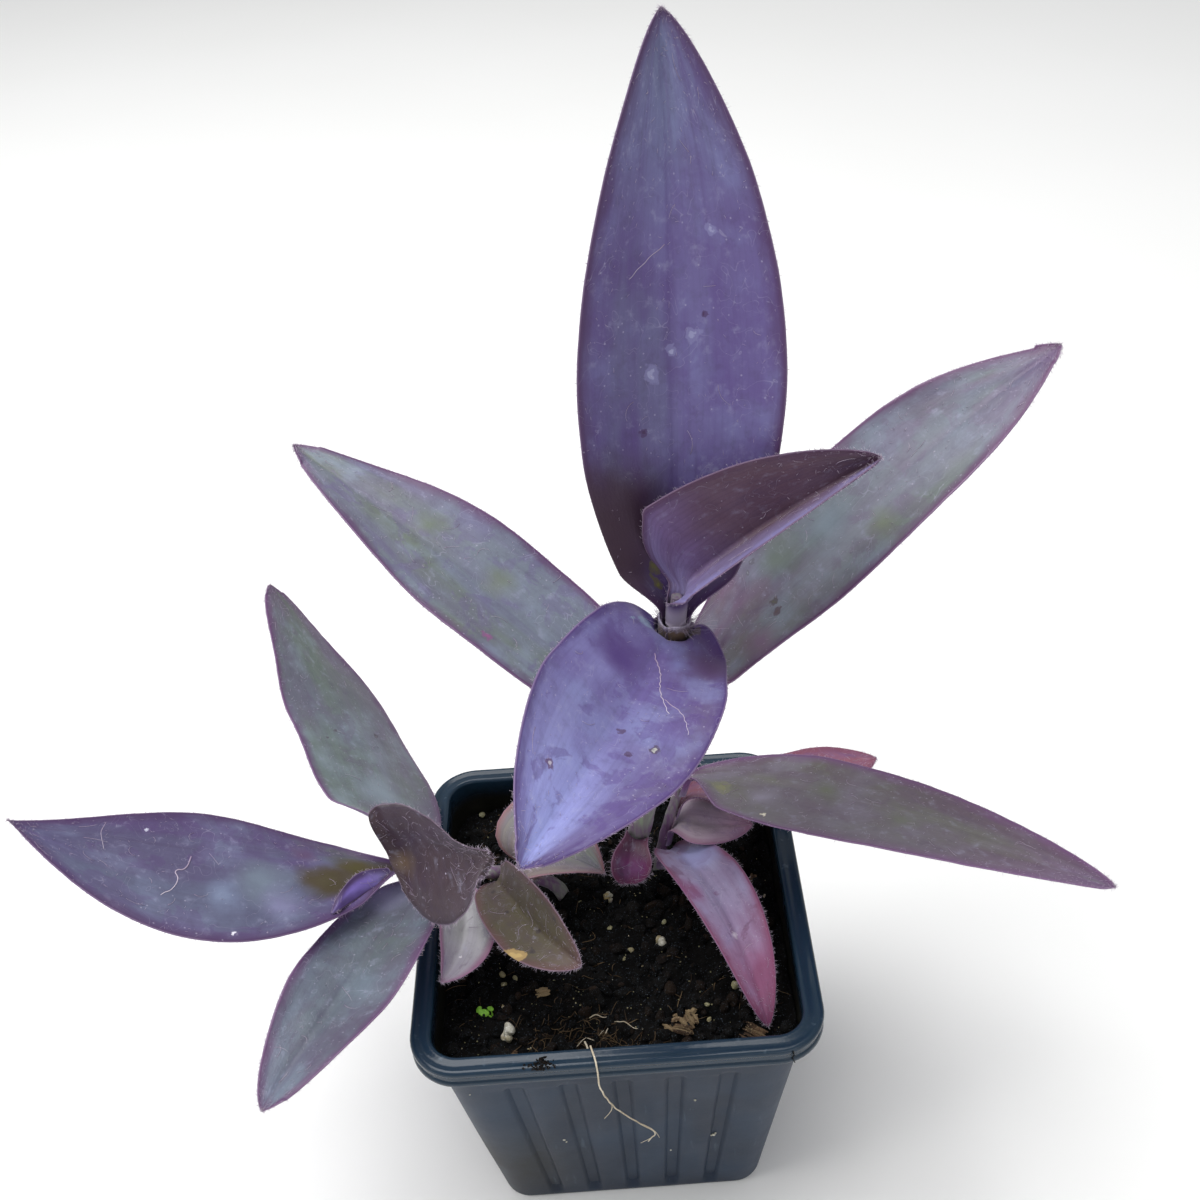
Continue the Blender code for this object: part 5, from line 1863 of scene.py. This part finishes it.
        # Place, half length, half width, heading in degrees and tone of each chip
        chips = (
            (12, -29.6, 3.4, 1.6, -35, 0.8), (15.6, -29.2, 2.9, 1.5, -66, 0.5),
            (14.2, -32, 2.6, 1.1, -20, 0.2), (16.8, -28, 1.5, 0.9, 15, 1),
            (13.6, -28.1, 2, 0.9, 20, 0.65), (-16.9, -19.4, 1.9, 1.1, 10, 1),
            (29.6, -34.6, 3, 1.5, -34, 0), (-23.6, -35, 1.7, 0.9, 20, 0.25),
            (38, -34.4, 1.5, 0.9, 60, 0.8), (28.6, -36.6, 1.2, 0.6, 5, 0.9),
            (3.5, -37.2, 1.3, 0.7, 15, 0.7), (-23.1, -36.2, 1.1, 0.6, 40, 0.5),
            (-30, 20, 2, 1, 70, 0.2), (24, 28, 2.4, 1.1, 25, 0.1),
            (-8, 30, 2.2, 1.2, 130, 0.3), (35, 10, 1.8, 0.9, 80, 0.2),
        )
        chance = np.random.default_rng(71)
        shapes = []
        for number, (x, y, length, width, heading, tone) in enumerate(chips):
            level = self.level_at(x, y)
            c, s = cos(radians(heading)), sin(radians(heading))
            tilt = 0.35 * sin(2.3 * number)
            # A chip is a bundle of splinters, ragged at both ends.
            for offset in np.arange(-width, width + 0.01, self.splinter_gap):
                ends = np.sort(chance.uniform(0.5, 1.05, 2) * [-1, 1]) * length
                steps = np.linspace(ends[0], ends[1], 5)
                aside = offset + 0.12 * chance.normal(0, 1, 5)
                lift = 0.7 + tilt * offset + 0.25 * chance.normal() + 0.15 * chance.normal(0, 1, 5)
                path = np.stack([x + c * steps - s * aside, y + s * steps + c * aside, level + lift], 1)
                splinter = thread(path, chance.uniform(0.28, 0.5) * np.array([0.35, 0.9, 1, 0.95, 0.4]), 5)
                shapes.append(splinter.toned(np.clip(tone + chance.normal(0, 0.28), 0, 1)))
        return GroundStuff.BARK.piece("bark_chips", shapes, smooth=False)

    def build_threads(self) -> Piece:
        """Build and dress the pale root bits, a straw and a twig.

        Returns:
            Their piece.
        """
        lines = (
            ((-3, -30.8), (-2.2, -28.3), (-0.1, -27.4), (1.8, -28.6), (3.6, -29.9), (5.4, -30.3), 0.13),
            ((-6.5, -26.6), (-5, -26), (-3.6, -26.6), (-2.6, -26.3), 0.14),
            ((34.8, 2), (35.6, 3), (36.4, 4), (37.1, 4.9), 0.4),
            ((-9.5, -33.5), (-7.5, -31.5), (-5.5, -31.8), (-3.4, -30), 0.1),
        )
        shapes = []
        for *path, radius in lines:
            flat = smooth_curve([(x, y, 0) for x, y in path], 6)
            flat[:, 2] = self.surface(flat[:, 0], flat[:, 1]) + radius + 0.25
            radii = radius * np.linspace(1, 0.6, len(flat))
            shapes.append(thread(flat, radii, 6))
        return GroundStuff.ROOT.piece("root_bits", shapes, "root")

    def build_seedling(self) -> Piece:
        """Build and dress the tiny bright green seedling.

        Returns:
            Its piece.
        """
        x, y = -30.4, -23.5
        level = self.level_at(x, y)
        shapes = []
        for number, (east, north, size) in enumerate(((0, 0, 1.2), (1.4, 0.9, 0.9), (-1.2, 0.8, 0.8))):
            centre = np.array([x + east, y + north, level + 1.3 + 0.2 * number])
            sizes = size * np.array([1.0, 0.8, 0.28])
            shapes.append(lump(centre, sizes, np.array([0.3, 0.25, number * 2.1]), 3, number, 0.15))
            stalk = np.linspace([x + 2.0, y - 0.5, level - 0.3], centre, 5)
            shapes.append(thread(stalk, np.linspace(0.2, 0.14, 5), 6).toned(0.0))
        return GroundStuff.SPROUT.piece("seedling", shapes, "leaf")

    def build(self) -> list[Piece]:
        """Build the bed and everything on it.

        Returns:
            Their pieces.
        """
        return [self.build_bed(), self.build_crumbs(), self.build_fibres(), self.build_grit(),
                self.build_perlite(), self.build_bark(), self.build_threads(), self.build_seedling()]


@dataclass(frozen=True)
class HangingRoot:
    """A dry root thread that comes out of the soil and hangs over the front rim.

    Each side root has the number of the point that it leaves at, its direction and its length.
    """

    path: tuple[Point, ...] = (
        (-7.6, -33.8, 69.8), (-6.5, -37.6, 71), (-6, -39.3, 75), (-5.8, -40.9, 78.8), (-4.8, -44.6, 78.9),
        (-4.6, -46, 77), (-4.4, -45.9, 71), (-3.5, -44.7, 64.5), (-2.3, -43.5, 59), (0, -42.3, 53),
        (3.2, -41.3, 47), (6.4, -40.5, 41), (4.8, -39.3, 35),
    )
    side_roots: tuple[tuple[int, Point, float], ...] = (
        (100, (0.7, -0.15, -0.7), 6), (112, (-0.8, -0.1, -0.3), 4.5), (78, (-0.5, -0.2, -0.8), 4),
    )
    radius: float = 0.23

    def build(self) -> list[Piece]:
        """Build and dress the thread with its three side roots.

        Returns:
            Its piece, in a list of one.
        """
        points = smooth_curve(self.path, 10)
        points += 0.12 * np.stack([SoftNoise(seed).at(points, 2.2) for seed in (61, 62, 63)], 1)
        radii = np.linspace(self.radius, 0.14, len(points))
        shapes = [thread(points, radii, 7)]
        for start, way, length in self.side_roots:
            steps = np.linspace(0, 1, 8)[:, None]
            curl = np.stack([0.8 * np.sin(3 * steps[:, 0]), 0 * steps[:, 0], -1.2 * steps[:, 0] ** 2], 1)
            twig = points[start] + length * steps * np.array(way) + curl
            shapes.append(thread(twig, np.linspace(0.12, 0.06, 8), 5))
        made = GroundStuff.ROOT.piece("hanging_root", shapes, "root")
        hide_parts("root_thread")
        return [made]


# Studio

@dataclass(frozen=True)
class Studio:
    """Plain pale floor, soft light and the camera that took the picture. Sizes in metres."""

    camera_place: Point = (0.0078, -0.1958, 0.3200)
    azimuth: float = -1.16
    elevation: float = 41.54
    tilt: float = -3.03
    lens: float = 39.0
    shift: tuple[float, float] = (-0.0417, 0.0625)
    plant_middle: Point = (0, 0, 0.1)
    floor_half: float = 6.0
    floor_drop: float = 0.0002

    def set_camera(self) -> None:
        """Set the camera at the picture's angle."""
        data = bpy.data.cameras.new("studio_camera")
        data.lens = self.lens
        data.sensor_width = 36.0
        data.shift_x, data.shift_y = self.shift
        data.clip_start = 0.01
        data.clip_end = 20.0
        camera = put_in_scene("studio_camera", data)
        a, e, roll = radians(self.azimuth), radians(self.elevation), radians(self.tilt)
        back = Vector((sin(a) * cos(e), -cos(a) * cos(e), sin(e)))
        right = Vector((cos(a), sin(a), 0.0))
        right = right * cos(roll) + back.cross(right) * sin(roll)
        up = back.cross(right)
        turn = Matrix((right, up, back)).transposed()
        camera.matrix_world = Matrix.Translation(self.camera_place) @ turn.to_4x4()
        bpy.context.scene.camera = camera

    def add_light(self, name: str, place: Point, size: float, power: float, colour: str) -> None:
        """Add a large soft light that faces the plant.

        Args:
            name: the light's name.
            place: where it stands.
            size: its width.
            power: its power in watts.
            colour: its colour.
        """
        data = bpy.data.lights.new(name, "AREA")
        data.shape = "DISK"
        data.size = size
        data.energy = power
        data.color = srgb(colour)[:3]
        light = put_in_scene(name, data)
        light.location = place
        light.rotation_euler = (Vector(place) - Vector(self.plant_middle)).to_track_quat("Z", "Y").to_euler()

    def lay_floor(self) -> None:
        """Lay the pale floor, a hair below the pot's base."""
        mesh = bpy.data.meshes.new("studio_floor")
        corners = [(x * self.floor_half, y * self.floor_half, -self.floor_drop)
                   for x, y in ((-1, -1), (1, -1), (1, 1), (-1, 1))]
        mesh.from_pydata(corners, [], [(0, 1, 2, 3)])
        mesh.materials.append(PaintedBoard().material("studio_floor"))
        put_in_scene("studio_floor", mesh)

    def set_up(self) -> None:
        """Set the camera, the floor, the lights and the surroundings."""
        self.set_camera()
        self.lay_floor()
        self.add_light("top_light", (-0.25, 0.2, 1.3), 1.1, 15.0, "#ffffff")
        self.add_light("key_light", (-1.1, -0.3, 0.9), 0.7, 5.0, "#fffefb")
        self.add_light("fill_light", (0.6, -1.2, 0.7), 1.0, 2.5, "#fbfdff")
        world = bpy.data.worlds.new("studio_world")
        world.use_nodes = True
        background = world.node_tree.nodes["Background"]
        background.inputs[0].default_value = srgb("#fafbfd")
        background.inputs[1].default_value = 0.5
        bpy.context.scene.world = world
        bpy.context.scene.view_settings.view_transform = "Standard"
        bpy.context.scene.view_settings.look = "None"


def main() -> None:
    """Build the studio, the pot, the soil and the plant in order, and report each piece."""
    logging.basicConfig(level=logging.INFO, format="%(message)s")
    Studio().set_up()
    pot = NurseryPot()
    for part in (pot, PottingSoil(pot), HangingRoot(), main_shoot(), left_shoot(), right_shoot()):
        for piece in part.build():
            mesh = piece.data
            log.info("%s: %d points, %d faces", piece.name, len(mesh.vertices), len(mesh.polygons))


if __name__ == "__main__":
    main()
